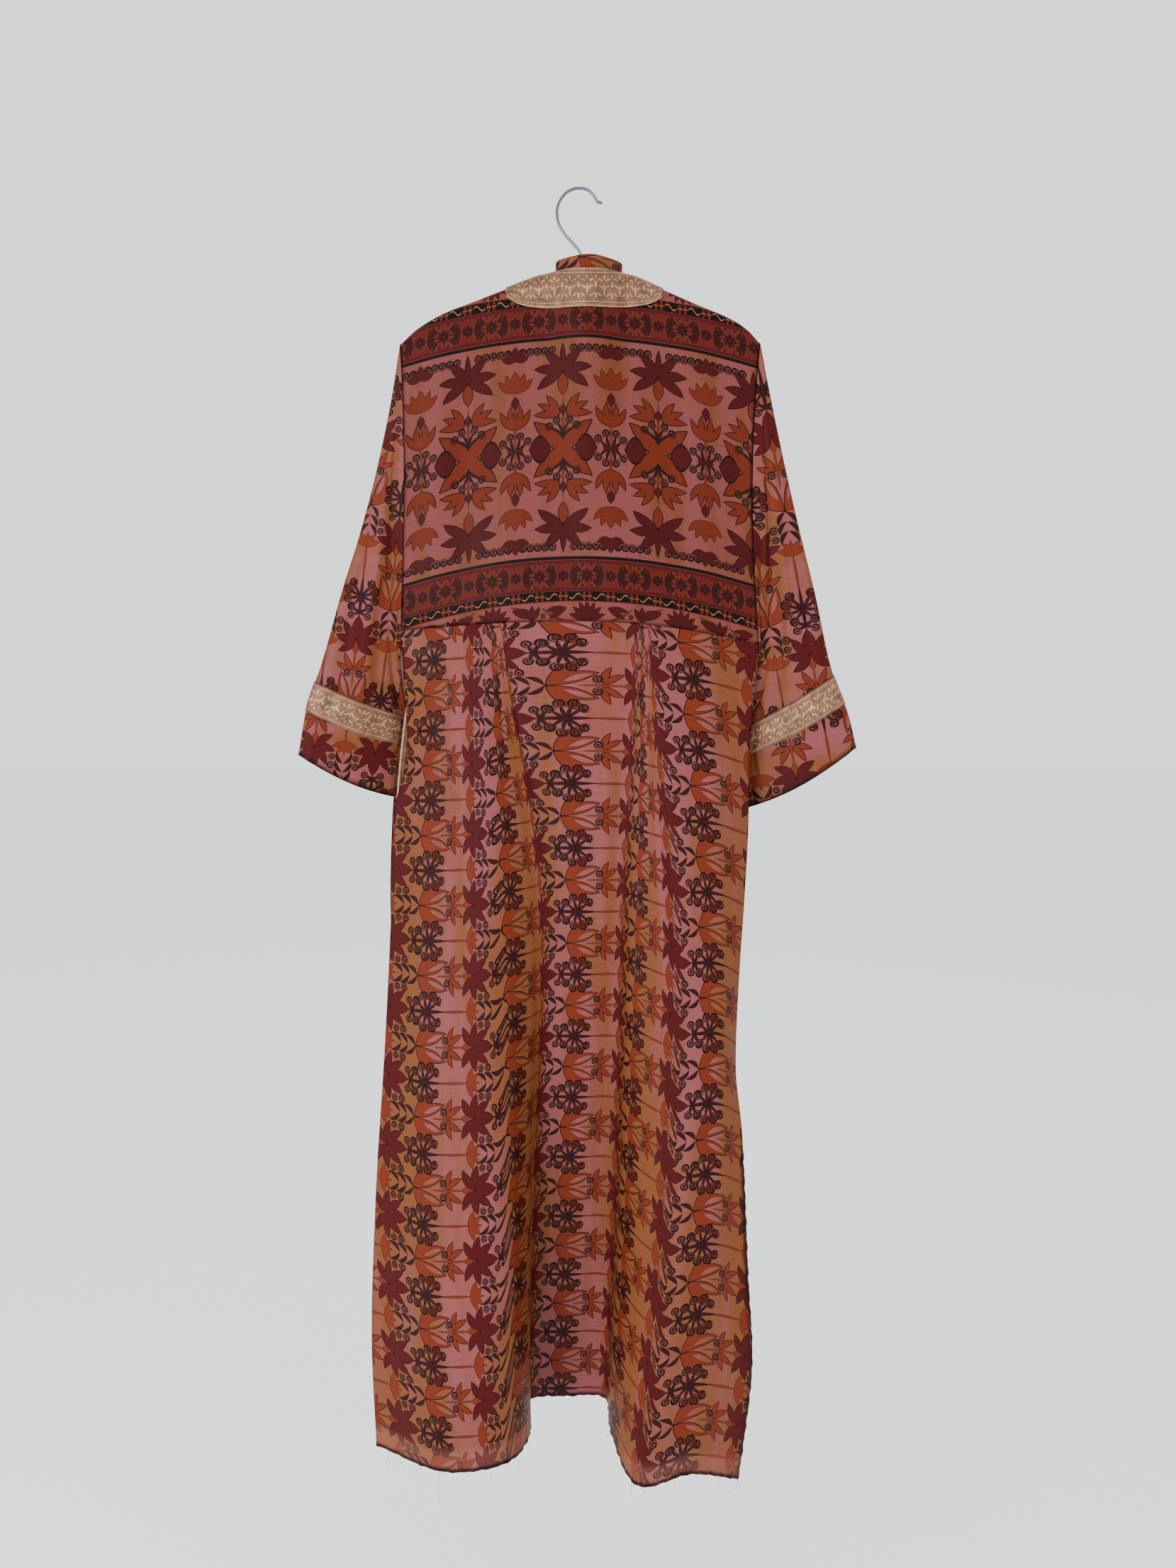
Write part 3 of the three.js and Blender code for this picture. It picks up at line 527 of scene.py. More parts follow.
def silk_material(name, layout):
    """Shot silk with its print laid on the cloth's own millimetres, as the border panel or not."""
    material, tree, shader = new_material(name)
    flat, x, y = on_cloth(tree)

    # Painted sheen: pink turns to the tan warp's colour where the cloth turns aside; the long random streaks
    # are the dye's own.
    turn = add(tree, "Attribute", [], attribute_name="turn").outputs[2]
    streaks = add(tree, "Mapping", [flat, (0, 0, 0), (0, 0, 0), (0.03, 0.004, 1)])
    cloud = add(tree, "TexNoise", {0: streaks, 2: 1.0, 3: 3.0, 4: 0.55}, noise_dimensions="2D")
    shade = add(tree, "Math", [cloud, 1.5, turn], operation="MULTIPLY_ADD")
    tan_sheen = add(tree, "MapRange", {0: shade, 1: 0.6, 2: 1.25, 3: 0.0, 4: 1.0}, interpolation_type="SMOOTHSTEP")
    colour = add(tree, "Mix", {0: tan_sheen, 6: linear("#7b4142"), 7: linear("#6c3d22")}, data_type="RGBA").outputs[2]

    if layout == "yoke":
        across = add(tree, "Math", [cell(tree, x, PANEL_REPEAT, -PANEL_LILY)], operation="ABSOLUTE")
        height = away(tree, y, PANEL_MIDDLE)
        below = add(tree, "Math", [height, PANEL_HALF + BAND["height"]], operation="SUBTRACT")
        lotus = add(tree, "Math", [cell(tree, x, 2 * PANEL_REPEAT, -LOTUS)], operation="ABSOLUTE")
        prints = [add(tree, "Group", [across, height], node_tree=panel)]
        prints.append(add(tree, "Group", [lotus, below], node_tree=edging))
    else:
        along = [add(tree, "Math", [x, ROW_LENGTH], operation="FLOORED_MODULO")]
        shifted = add(tree, "Math", [x, ROW_LENGTH / 2], operation="ADD")
        along.append(add(tree, "Math", [shifted, ROW_LENGTH], operation="FLOORED_MODULO"))
        prints = []
        for place_x, shift in zip(along, (0, ROW_PITCH)):
            off = add(tree, "Math", [cell(tree, y, 2 * ROW_PITCH, shift)], operation="ABSOLUTE")
            prints.append(add(tree, "Group", [place_x, off], node_tree=running))
    fields = []
    for index in range(4):
        field = prints[0].outputs[index]
        for other in prints[1:]:
            field = add(tree, "Math", [field, other.outputs[index]], operation="MINIMUM")
        fields.append(field)
    for index, inner, paint in ((0, 0.78, ORANGE), (1, 0.86, ORANGE), (3, 0.62, PLUM), (2, 0.84, RED)):
        colour = painted(tree, colour, fields[index], 1.0, INK)
        colour = painted(tree, colour, fields[index], inner, paint)

    if layout == "yoke":
        # The border like a woven one: black line, red vine band and black wave band.
        out = add(tree, "Math", [height, PANEL_HALF], operation="SUBTRACT")
        for start, end, paint in (
            (0, BAND["height"], "#6e2a20"), (0.2, 3.6, BLACK), (4.4, 37, "#330709"), (5, 36.4, "#4a0d0f"),
            (8, 33.6, "#571a12"), (37.5, 48, BLACK),
        ):
            off = away(tree, out, (start + end) / 2)
            colour = painted(tree, colour, off, (end - start) / 2, paint)
        band_x = add(tree, "Math", [cell(tree, x, PANEL_REPEAT / 2, -PANEL_LILY)], operation="ABSOLUTE")
        band_y = away(tree, out, BAND["vine"])
        vines = add(tree, "Group", [band_x, band_y], node_tree=vine)
        stay = add(tree, "Math", [band_y, BAND["vine_half"]], operation="GREATER_THAN")
        for socket in (3, 2):
            field = add(tree, "Math", [vines.outputs[socket], stay], operation="ADD")
            colour = painted(tree, colour, field, 1.3, "#6e2d1e")
            colour = painted(tree, colour, field, 1.0, "#2f080a")
        # In the black band a slanting wave and a pair of toothed blocks take turns.
        wave_y = add(tree, "Math", [out, BAND["wave"]], operation="SUBTRACT")
        step = cell(tree, x, PANEL_REPEAT / 4, 4)
        wave = waves(tree, step, BAND["wave_pitch"])
        crest = add(tree, "Math", [wave, 2.7, wave_y], operation="MULTIPLY_ADD")
        crest = add(tree, "Math", [crest], operation="ABSOLUTE")
        near = add(tree, "Math", [step], operation="ABSOLUTE")
        far = add(tree, "Math", [near, 6.2], operation="GREATER_THAN")
        crest = add(tree, "Math", [far, 9.0, crest], operation="MULTIPLY_ADD")
        colour = painted(tree, colour, crest, 0.7, "#9c5836")
        tooth = away(tree, near, 10.0)
        bar_y = add(tree, "Math", [wave_y], operation="ABSOLUTE")
        bar = add(tree, "Math", [bar_y, 0.5, tooth], operation="MULTIPLY_ADD")
        colour = painted(tree, colour, bar, 2.5, "#7d341b")
        notch = away(tree, bar_y, 1.9)
        notch = add(tree, "Math", [tooth, 0.35, notch], operation="MULTIPLY_ADD")
        colour = painted(tree, colour, notch, 0.85, BLACK)

        # The border panel is painted darker than the field: painted shade over the upper back.
        painted_yoke_shade = {0: 1.0, 6: colour, 7: linear("#e2dbd3")}
        colour = add(tree, "Mix", painted_yoke_shade, data_type="RGBA", blend_type="MULTIPLY").outputs[2]

    # Rolled hems and turned edges are darker for their folded layers, and painted shade darkens the seams and
    # sleeve heads;
    # a single layer over the light is painted paler, as light shining through it.
    edge = add(tree, "Attribute", [], attribute_name="edge").outputs[2]
    shade_tint = {0: 1.0, 6: colour, 7: linear("#7b5552")}
    dark = add(tree, "Mix", shade_tint, data_type="RGBA", blend_type="MULTIPLY").outputs[2]
    colour = add(tree, "Mix", {0: edge, 6: colour, 7: dark}, data_type="RGBA").outputs[2]
    # Painted light: the mark "thin" pales the colour as if light shone through a single layer.
    thin = add(tree, "Attribute", [], attribute_name="thin").outputs[2]
    pale = add(tree, "Mix", {0: 0.1, 6: colour, 7: linear("#b87a70")}, data_type="RGBA").outputs[2]
    colour = add(tree, "Mix", {0: thin, 6: colour, 7: pale}, data_type="RGBA").outputs[2]
    # Slubs: thicker threads, a few centimetres long, that take the dye unevenly.
    slub_place = add(tree, "Mapping", [flat, (0, 0, 0), (0, 0, 0), (0.05, 1.1, 1)])
    slub = add(tree, "TexNoise", {0: slub_place, 2: 1.0, 3: 2.0}, noise_dimensions="2D")
    slub = add(tree, "MapRange", {0: slub, 1: 0.3, 2: 0.7, 3: 0.9, 4: 1.08})
    dyed = {0: 1.0, 6: colour, 7: slub}
    colour = add(tree, "Mix", dyed, data_type="RGBA", blend_type="MULTIPLY").outputs[2]
    tree.links.new(colour, shader.inputs["Base Color"])

    # Plain weave at 0.1 mm can't show, so it is drawn at 1.3 mm, very shallow.
    weave = add(tree, "Math", [waves(tree, x, 1.3), waves(tree, y, 1.3)], operation="MULTIPLY")
    rumple_place = add(tree, "Mapping", [flat, (0, 0, 0), (0, 0, 0.2), (0.05, 0.016, 1)])
    rumple = add(tree, "TexNoise", {0: rumple_place, 2: 1.0, 3: 4.0, 4: 0.5}, noise_dimensions="2D")
    height_map = add(tree, "Math", [rumple, 26.0, weave], operation="MULTIPLY_ADD")
    bump = add(tree, "Bump", {"Strength": 0.35, "Distance": 0.00012, "Height": height_map})
    tree.links.new(bump.outputs[0], shader.inputs["Normal"])
    shader.inputs["Roughness"].default_value = 0.5
    shader.inputs["Specular IOR Level"].default_value = 0.08
    shader.inputs["Sheen Weight"].default_value = 0.03
    shader.inputs["Sheen Tint"].default_value = linear("#d08060")
    return material


back_yoke.data.materials.append(silk_material("printed shot silk, border panel", "yoke"))
running_silk = silk_material("printed shot silk, running print", "running")

# Back skirt: the sari's field cloth, gathered to the yoke's seam by two small knife pleats.
# Between the pleats it falls back as a deep recess, and its lower edge is a narrow rolled hem.
SKIRT = {"hip": 0.332, "knee": 0.705, "blend": 0.1, "tuck_share": 0.005, "tuck_rise": 2.4}
SLIT = {"top": -1030, "hem": -1385, "spread": 9}
skirt_folds = [             # side or x at seam, hip, knee and hem, the same for y, then z at the hem, steps
    ("left", None, -1380, 4),
    ((-150, -155, -162, -142), (-22, -46, -86, -110), -1385, 4),
    ((-99, -88, -80, -76), (-27, -52, -84, -98), -1380, 3),
    ((-94, -60, -60, -57), (-27, -38, -52, -60), -1375, 4),
    ((-88, -41, -50, -60), (-27, -27, -18, -8), -1368, 5),
    ((-8, 6, -4, -14), (-28, -28, -15, -3), -1366, 5),
    ((64, 50, 41, 30), (-27, -25, -15, -6), -1366, 4),
    ((69, 62, 51, 37), (-27, -36, -46, -60), -1372, 4),
    ((75, 104, 92, 64), (-27, -47, -80, -110), -1400, 4),
    ((132, 150, 146, 122), (-22, -42, -76, -102), -1393, 4),
    ("right", None, -1418, 0),
]


def bend_through(points, at):
    """Points on the smooth line through the given ones; at counts them, with fractions."""
    points = np.asarray(points, float)
    ends = np.concatenate([[2 * points[0] - points[1]], points, [2 * points[-1] - points[-2]]])
    gaps = np.maximum(np.linalg.norm(np.diff(ends, axis=0), axis=1) ** 0.5, 1e-4)
    i = np.clip(np.floor(at).astype(int), 0, len(points) - 2)
    t = (at - i)[:, None]
    p0, p1, p2, p3 = (ends[i + k] for k in range(4))
    g0, g1, g2 = (gaps[i + k][:, None] for k in range(3))
    m1 = ((p1 - p0) / g0 - (p2 - p0) / (g0 + g1) + (p2 - p1) / g1) * g1
    m2 = ((p2 - p1) / g1 - (p3 - p1) / (g1 + g2) + (p3 - p2) / g2) * g1
    leave = (2 * t**3 - 3 * t**2 + 1) * p1 + (t**3 - 2 * t**2 + t) * m1
    return leave + (3 * t**2 - 2 * t**3) * p2 + (t**3 - t**2) * m2


seam_depth = through(yoke_grid[-1, :, 0], yoke_grid[-1, :, 1])
fold_at = np.concatenate([
    i + np.arange(4 * steps) / (4 * steps) for i, (*_, steps) in enumerate(skirt_folds) if steps])
fold_at = np.append(fold_at, len(skirt_folds) - 1)


def skirt_row(v):
    line = []
    for x, y, z_hem, _ in skirt_folds:
        if y is None:
            side = sides[x]
            z = mix(seam_height(side["x"](UNDERARM)), z_hem, v)
            line.append((side["x"](z) + GAP * side["inward"], side_depth(side, z), z))
        else:
            at_x, at_y = (float(through((0, SKIRT["hip"], SKIRT["knee"], 1), k)(v)) for k in (x, y))
            line.append((at_x, at_y, mix(seam_height(at_x), z_hem, v)))
    row = bend_through(line, fold_at)
    # The cut edge is tucked up behind the yoke's, so that no light shows through the seam.
    tucked = max(0.0, 1 - v / SKIRT["tuck_share"])
    height = seam_height(row[:, 0]) - 2 * GAP - v + SKIRT["tuck_rise"] * tucked
    on_seam = np.stack([row[:, 0], seam_depth(row[:, 0]) + tucked, height], -1)
    return mix(row, on_seam, 1 - smooth(v / SKIRT["blend"]))


def rolled(from_edge, width):
    """1 on a rolled edge this wide, fading over the next millimetre or two."""
    return np.exp(-np.maximum(from_edge - width, 0) / 1.2)


def lengths(grid, axis):
    """Distance along the rows (axis 1) or down the columns (axis 0) of a grid."""
    steps = np.linalg.norm(np.diff(grid, axis=axis), axis=-1)
    start = np.zeros_like(steps[:, :1] if axis else steps[:1])
    return np.concatenate([start, np.cumsum(steps, axis)], axis)


skirt_down = np.concatenate([
    np.linspace(0, 0.02, 5)[:-1], np.linspace(0.02, 0.985, 190), [0.988, 0.991, 0.994, 0.997, 1]])
skirt_grid = np.array([skirt_row(v) for v in skirt_down])
skirt_along = lengths(skirt_grid, 1)
left_column, middle_column, right_column = (int(np.argmin(np.abs(fold_at - i))) for i in (1, 5, 9))
# Where the print lies on the cloth: the fold's number, its place along the printed rows, then
# how much the rows are drawn together downwards and how far they are shifted.
print_table = [
    (1.0, 21, 1.0, 4.9), (1.9, 112, 1.0, 4.9), (2.15, 118, 1.06, 39.3), (3.75, 178, 1.06, 39.3),
    (4.1, 208, 1.053, 29.3), (5.0, 252, 1.053, 29.3), (5.9, 301, 1.053, 29.3),
    (6.2, 326, 1.03, 24.7), (7.0, 344, 1.03, 24.7),
    (7.9, 424, 1.03, 24.7), (8.15, 440, 1.0, 21.8), (9.0, 485, 1.0, 21.8),
]
fold_number, row_place, row_draw, row_shift = (np.array(values, float) for values in zip(*print_table))
skirt_u = np.interp(fold_at, fold_number, row_place) * np.ones(skirt_along.shape)
for lobe, column, start in (
    (fold_at < 1, left_column, row_place[0]), (fold_at > 9, right_column, row_place[-1]),
):
    skirt_u[:, lobe] = start + (skirt_along - skirt_along[:, column:column + 1])[:, lobe]
skirt_z = skirt_grid[:, middle_column:middle_column + 1, 2]
skirt_v = skirt_z * np.interp(fold_at, fold_number, row_draw) + np.interp(fold_at, fold_number, row_shift)
skirt_cloth = np.stack([skirt_u, skirt_v], -1)
print_middle = row_place[list(fold_number).index(5)]
skirt_drop = lengths(skirt_grid, 0)[:, middle_column:middle_column + 1] * np.ones(skirt_u.shape)
crease_cloth = np.stack([skirt_u - print_middle, -skirt_drop], -1)
skirt_creases = [
    (-230, -60, -262, -520, 16, 2.4), (-205, -40, -196, -420, 12, -1.8), (-270, -380, -255, -860, 18, -2.4),
    (-150, -300, -160, -900, 20, 1.8), (-60, -10, -34, -300, 9, -2.0), (30, -20, 22, -360, 11, 1.8),
    (-20, -260, -30, -880, 14, -1.5), (50, -420, 42, -900, 12, 1.6), (150, -60, 190, -400, 15, -2.2),
    (235, -40, 250, -500, 16, 2.2), (270, -330, 258, -800, 14, -2.4), (205, -420, 196, -930, 18, 2.0),
    (290, -560, 300, -900, 8, 1.6), (-300, -600, -296, -900, 9, -1.5), (-110, -30, -116, -160, 6, -1.6),
    (96, -20, 100, -150, 6, -1.6),
]
from_hem = lengths(skirt_grid[::-1], 0)[::-1]
from_right = skirt_along[:, -1:] - skirt_along
slit = smooth((SLIT["top"] - skirt_grid[..., 2]) / 30)
pucker_hem = np.exp(-from_hem / 9) * (np.sin(skirt_along / 1.9) + 0.7 * np.sin(skirt_along / 3.1 + 1.0)) * 0.7
pucker_slit = slit * np.exp(-from_right / 8) * (np.sin(from_hem / 2.3) + 0.8 * np.sin(from_hem / 4.1)) * 0.8
below_seam = np.clip(skirt_down / 0.12, 0, 1)[:, None, None]
skirt_shape = mix(skirt_grid, creased(skirt_grid, crease_cloth, skirt_creases), below_seam)
skirt_shape = skirt_shape + normals_of(skirt_grid) * (pucker_hem + pucker_slit)[..., None]
skirt_edge = np.clip(rolled(from_hem, 3.2) + slit * rolled(from_right, 3.2), 0, 1)
# At the outer folds' hems a single layer hangs before the light, and the light shining through it is painted
# there as a paler colour.
lobes = (fold_at < 2.6) | (fold_at > 7.6)
skirt_backlight = smooth((26 - from_hem) / 6) * lobes[None, :] * (from_hem > 5)
back_skirt = hang(
    "back_skirt_cloth", skirt_shape, skirt_cloth,
    {"turn": turned(skirt_shape), "edge": skirt_edge, "thin": skirt_backlight}, hem=3.4)
back_skirt.data.materials.append(running_silk)
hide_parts("back_skirt")
# Loose weft threads hang from the rolled hem, 0.4 mm thick; each has its x, length and drift.
threads = bpy.data.curves.new("skirt_loose_threads", "CURVE")
threads.dimensions = "3D"
threads.bevel_depth = 0.2 * MM
threads.bevel_resolution = 1
for x, length, drift in (
    (-211, 24, -3), (-200, 18, 5), (-172, 9, -4), (-150, 42, -2), (-96, 12, 3), (-71, 15, 6),
    (36, 10, -5), (58, 20, -2), (66, 12, 6), (104, 9, 3), (158, 13, -4), (177, 24, 7), (178, 14, -3),
):
    column = int(np.argmin(np.abs(skirt_shape[-1, :, 0] - x) + 0.1 * skirt_shape[-1, :, 1]))
    floss = threads.splines.new("POLY")
    floss.points.add(13)
    for index, point in enumerate(floss.points):
        share = index / 13
        curl = drift * share + 1.8 * share * math.sin(8 * share + x)
        sway = np.array([curl, math.sin(6 * share + x), 1 - length * share])
        point.co = (*((skirt_shape[-1, column] + sway) * MM), 1)
loose_threads = placed("skirt_loose_threads", threads)
red_floss, tree, shader = new_material("dark red silk floss")
shader.inputs["Base Color"].default_value = linear("#5c1f1e")
threads.materials.append(red_floss)
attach(loose_threads, "root")

# Fronts: one length of field cloth each, from the shoulder to the hem, open down the middle.
# The left one is turned back on itself, so that its edge lies beside the side seam.
FRONT_BORDER = {"inset": 3, "width": 38}
front_stations = (0, 0.04, 0.08, 0.17, 0.31, 0.51, 0.77, 1)
front_folds = {             # x and y at the stations above, then z at the hem
    "left": [
        (None, None, -1383),
        ((-150, -148, -146, -143, -150, -160, -175, -170), (7.5, 8, 9, 11, 6, -8, -60, -80), -1388),
        ((-75, -68, -64, -72, -90, -104, -96, -84), (7.5, 8.5, 8, 9, 11, 7, -26, -60), -1386),
        ((-56, -48, -51, -60, -82, -98, -88, -78), (7.5, 12, 16, 18, 18, 14, -16, -50), -1385),
        ((-46, -43, -62, -92, -140, -155, -135, -120), (7.5, 20, 25, 27, 20, 10, -14, -38), -1384),
        ((-37, -52, -77, -124, -187, -212, -194, -172), (7.5, 26, 27, 27, 12, -11, -32, -46), -1384),
    ],
    "right": [
        (None, None, -1394),
        ((150, 147, 145, 143, 150, 146, 145, 140), (7.5, 9, 11, 13, 10, -6, -46, -76), -1392),
        ((118, 112, 106, 98, 100, 110, 104, 100), (7.5, 9, 10, 10, 4, 4, -34, -72), -1394),
        ((84, 80, 76, 72, 76, 88, 80, 82), (7.5, 10, 12, 14, 12, -2, -26, -54), -1390),
        ((53, 49, 45, 42, 44, 60, 58, 60), (7.5, 9, 10, 11, 7, 3, -14, -30), -1388),
    ],
}
front_creases = {
    "left": [(60, -200, 66, -760, 16, 2.0), (95, -320, 88, -1000, 14, -1.8), (130, -500, 140, -1200, 16, 1.7),
             (180, -260, 176, -800, 15, -1.6), (210, -700, 222, -1250, 15, 1.8)],
    "right": [(70, -200, 60, -700, 15, 1.9), (110, -350, 118, -1050, 15, -1.8), (30, -500, 26, -1200, 14, 1.6),
              (150, -600, 146, -1240, 14, -1.7)],
}


def front_row(side_name, drop, v):
    line = []
    for x, y, z_hem in front_folds[side_name]:
        if x is None:
            side = sides[side_name]
            z = side["top"] - drop if v is None else mix(side["top"], z_hem, v)
            open_by = SLIT["spread"] * smooth((SLIT["top"] - z) / (SLIT["top"] - SLIT["hem"]))
            at_x = side["x"](z) + (GAP + open_by) * side["inward"]
            line.append((at_x, side_depth(side, z, True) + open_by, z))
        else:
            top = float(ridge(x[0]))
            share = drop / (top - z_hem) if v is None else v
            z = mix(top, z_hem, share)
            at_x, at_y = (float(through(front_stations, k)(share)) for k in (x, y))
            line.append((at_x, at_y * float(roll_over(top - z)), z))
    dense = bend_through(line, np.linspace(0, len(line) - 1, 240))
    run = lengths(dense[None], 1)[0]
    inner = FRONT_BORDER["inset"] + FRONT_BORDER["width"]
    ribbon_stops = run[-1] - inner + FRONT_BORDER["width"] * np.linspace(0, 1, 13)
    stops = np.concatenate([np.linspace(0, run[-1] - inner, 46)[:-1], ribbon_stops, [run[-1]]])
    row = np.stack([np.interp(stops, run, dense[:, k]) for k in range(3)], -1)
    if v is None:
        row[:, 1] = RIDGE_GAP + ROLL * roll_over(drop)
        row[:, 2] = ridge(row[:, 0]) - drop
    return row


# Gold brocade ribbon: floss and flat gold thread woven in small leaves on a pinkish ground,
# with ribs along both edges and a row of picot loops. It is sewn flat on the silk.
def brocade_material():
    material, tree, shader = new_material("gold brocade ribbon")
    flat, x, y = on_cloth(tree)
    # y runs from 0 at one edge of the ribbon to its width, and the sprays repeat every 18 mm.
    along = cell(tree, x, 18)
    half = add(tree, "Math", [y, 19], operation="SUBTRACT")
    place = (add(tree, "Math", [along], operation="ABSOLUTE"), half)
    sprays = (leaf(tree, place, *row) for row in (
        (0, -11, 90, 17, 4.6), (0.5, -9, 38, 9, 3.6, -0.8), (0.5, -3, 34, 9, 3.6, 0.8), (1, 5, 24, 8, 3.2, 0.6),
        (9, -12, 90, 8, 4.2), (9, -2, 90, 9, 4.8), (9, 8.5, 90, 4.5, 3.4), (0, 7, 90, 5.5, 4.4),
    ))
    spray = nearest(tree, sprays)
    colour = painted(tree, linear("#7a4e3b"), spray, 1.0, "#412a20")
    colour = painted(tree, colour, spray, 0.72, "#a88050")
    rim = add(tree, "Math", [half], operation="ABSOLUTE")
    for start, end, paint in ((13.4, 19.5, "#573728"), (13.8, 14.8, "#b08a56"), (15.6, 16.6, "#8a5646")):
        colour = painted(tree, colour, away(tree, rim, (start + end) / 2), (end - start) / 2, paint)
    picot = waves(tree, x, 2.6)
    off = add(tree, "Math", [picot, 0.5, away(tree, rim, 18.2)], operation="MULTIPLY_ADD")
    colour = painted(tree, colour, off, 0.8, "#b8925e")
    # Gold thread laid every 0.3 mm is drawn at 1.1 mm, so that its ribs still show.
    rib = waves(tree, x, 1.1)
    # Painted glints: noise patches lighten and darken the gold, and each rib is painted a little lighter and
    # darker across.
    glint = add(tree, "TexNoise", {0: flat, 2: 0.09, 3: 5.0, 4: 0.62}, noise_dimensions="2D")
    tone = add(tree, "MapRange", {0: glint, 1: 0.3, 2: 0.7, 3: 0.5, 4: 1.12})
    tone = add(tree, "Math", [rib, 0.06, tone], operation="MULTIPLY_ADD")
    glinted = {0: 1.0, 6: colour, 7: tone}
    colour = add(tree, "Mix", glinted, data_type="RGBA", blend_type="MULTIPLY").outputs[2]
    tree.links.new(colour, shader.inputs["Base Color"])
    raised = add(tree, "Math", [spray, 1.0], operation="LESS_THAN")
    relief = add(tree, "Math", [rib, 0.35, raised], operation="MULTIPLY_ADD")
    bump = add(tree, "Bump", {"Strength": 0.5, "Distance": 0.0003, "Height": relief})
    tree.links.new(bump.outputs[0], shader.inputs["Normal"])
    shader.inputs["Metallic"].default_value = 0.45
    shader.inputs["Roughness"].default_value = 0.4
    return material


brocade = brocade_material()
BORDER_LIFT = 1.5           # the ribbon's middle above the silk's middle


def ribbon(name, node, grid, normals, cloth, closed=False):
    """A brocade ribbon that lies on its panel, made from the panel's own points."""
    piece = hang(name, grid + normals * BORDER_LIFT, cloth, {}, wall=1.1, closed=closed)
    piece.data.materials.append(brocade)
    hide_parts(node)
    return piece


front_down = mix(0.008, 1, (np.arange(1, 171) / 170) ** 1.15)
for side_name in ("left", "right"):
    rows = [front_row(side_name, ROLL * share, None) for share in (0, 0.05, 0.13, 0.3, 0.5, 0.75, 1)]
    rows += [front_row(side_name, 0, v) for v in front_down]
    grid = np.array(rows)
    if side_name == "left":
        grid = grid[:, ::-1]
    along = lengths(grid, 1)
    if side_name == "right":
        along = along[:, -1:] - along
    down = lengths(grid, 0)
    cloth = np.stack([along, -down.mean(1, keepdims=True) * np.ones(along.shape)], -1)
    from_hem = lengths(grid[::-1], 0)[::-1]
    edge_mark = np.clip(rolled(from_hem, 3) + rolled(along, 2.4), 0, 1)
    pucker = np.exp(-from_hem / 9) * np.sin(along / 2.1) * 0.8
    calm = smooth((down - 90) / 160)[..., None]
    shape = mix(grid, creased(grid, cloth, front_creases[side_name]), calm)
    shape = shape + normals_of(grid) * pucker[..., None]
    front = hang(f"front_{side_name}_cloth", shape, cloth, {"turn": turned(shape), "edge": edge_mark}, hem=2.6)
    front.data.materials.append(running_silk)
    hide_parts(f"front_{side_name}")
    strip = slice(1, 14) if side_name == "left" else slice(-14, -1)
    strip_along = along[:, strip] - FRONT_BORDER["inset"]
    strip_cloth = np.stack([down[:, strip], strip_along], -1)
    ribbon(f"front_border_{side_name}_ribbon", f"front_border_{side_name}", shape[:, strip],
           normals_of(shape)[:, strip], strip_cloth)

# Neck border: the same ribbon, eased round the back neck and run out along the shoulders.
# It takes the yoke's own points, from the ridge down and between the shoulders.
neck_rows, neck_columns = slice(0, 17), slice(30, 30 + 14 * 5 + 1)
neck_grid, neck_normals = yoke_grid[neck_rows, neck_columns], yoke_normals[neck_rows, neck_columns]
neck_along = lengths(neck_grid, 1)[8:9] * np.ones(neck_grid.shape[:2])
neck_down = lengths(neck_grid, 0)
neck_share = neck_down / neck_down[-1:]
ribbon("neck_border_ribbon", "neck_border", neck_grid, neck_normals,
       np.stack([neck_along, 38 - 38 * neck_share], -1))

# Sleeves: each a flared tube of field cloth, its print running down the arm. A brocade ribbon
# is sewn round it above a printed cuff edge, and the lower fold passes behind the body.
CUFF = {"border": 34, "below_outer": 50, "below_inner": 62, "sag": 9, "print_turn": 145}
BORDER_ROWS = {"first": 60, "middle": 65, "end": 70}
SLEEVE = {"start_width": 11, "end_width": 15, "squareness": 0.7, "settle": 0.5, "ring": 120}
sleeve_lines = {
    "left": {
        "outer": [(-194, 0, -163), (-203, -2, -219), (-212, -3, -272), (-226, -4, -325), (-259, -5, -423),
                  (-284, -5, -505), (-302, -6, -556), (-312, -6, -608)],
        "under": [(-199, -5, -492), (-204, 7, -517), (-199, 21, -547), (-193, 30, -600), (-184, 33, -663)],
    },
    "right": {
        "outer": [(197, 0, -163), (206, -2, -205), (216, -3, -258), (230, -4, -318), (260, -5, -432),
                  (279, -5, -512), (299, -6, -564), (308, -6, -600)],
        "under": [(201, -5, -492), (203, 6, -515), (196, 17, -547), (188, 25, -605), (178, 30, -675)],
    },
}
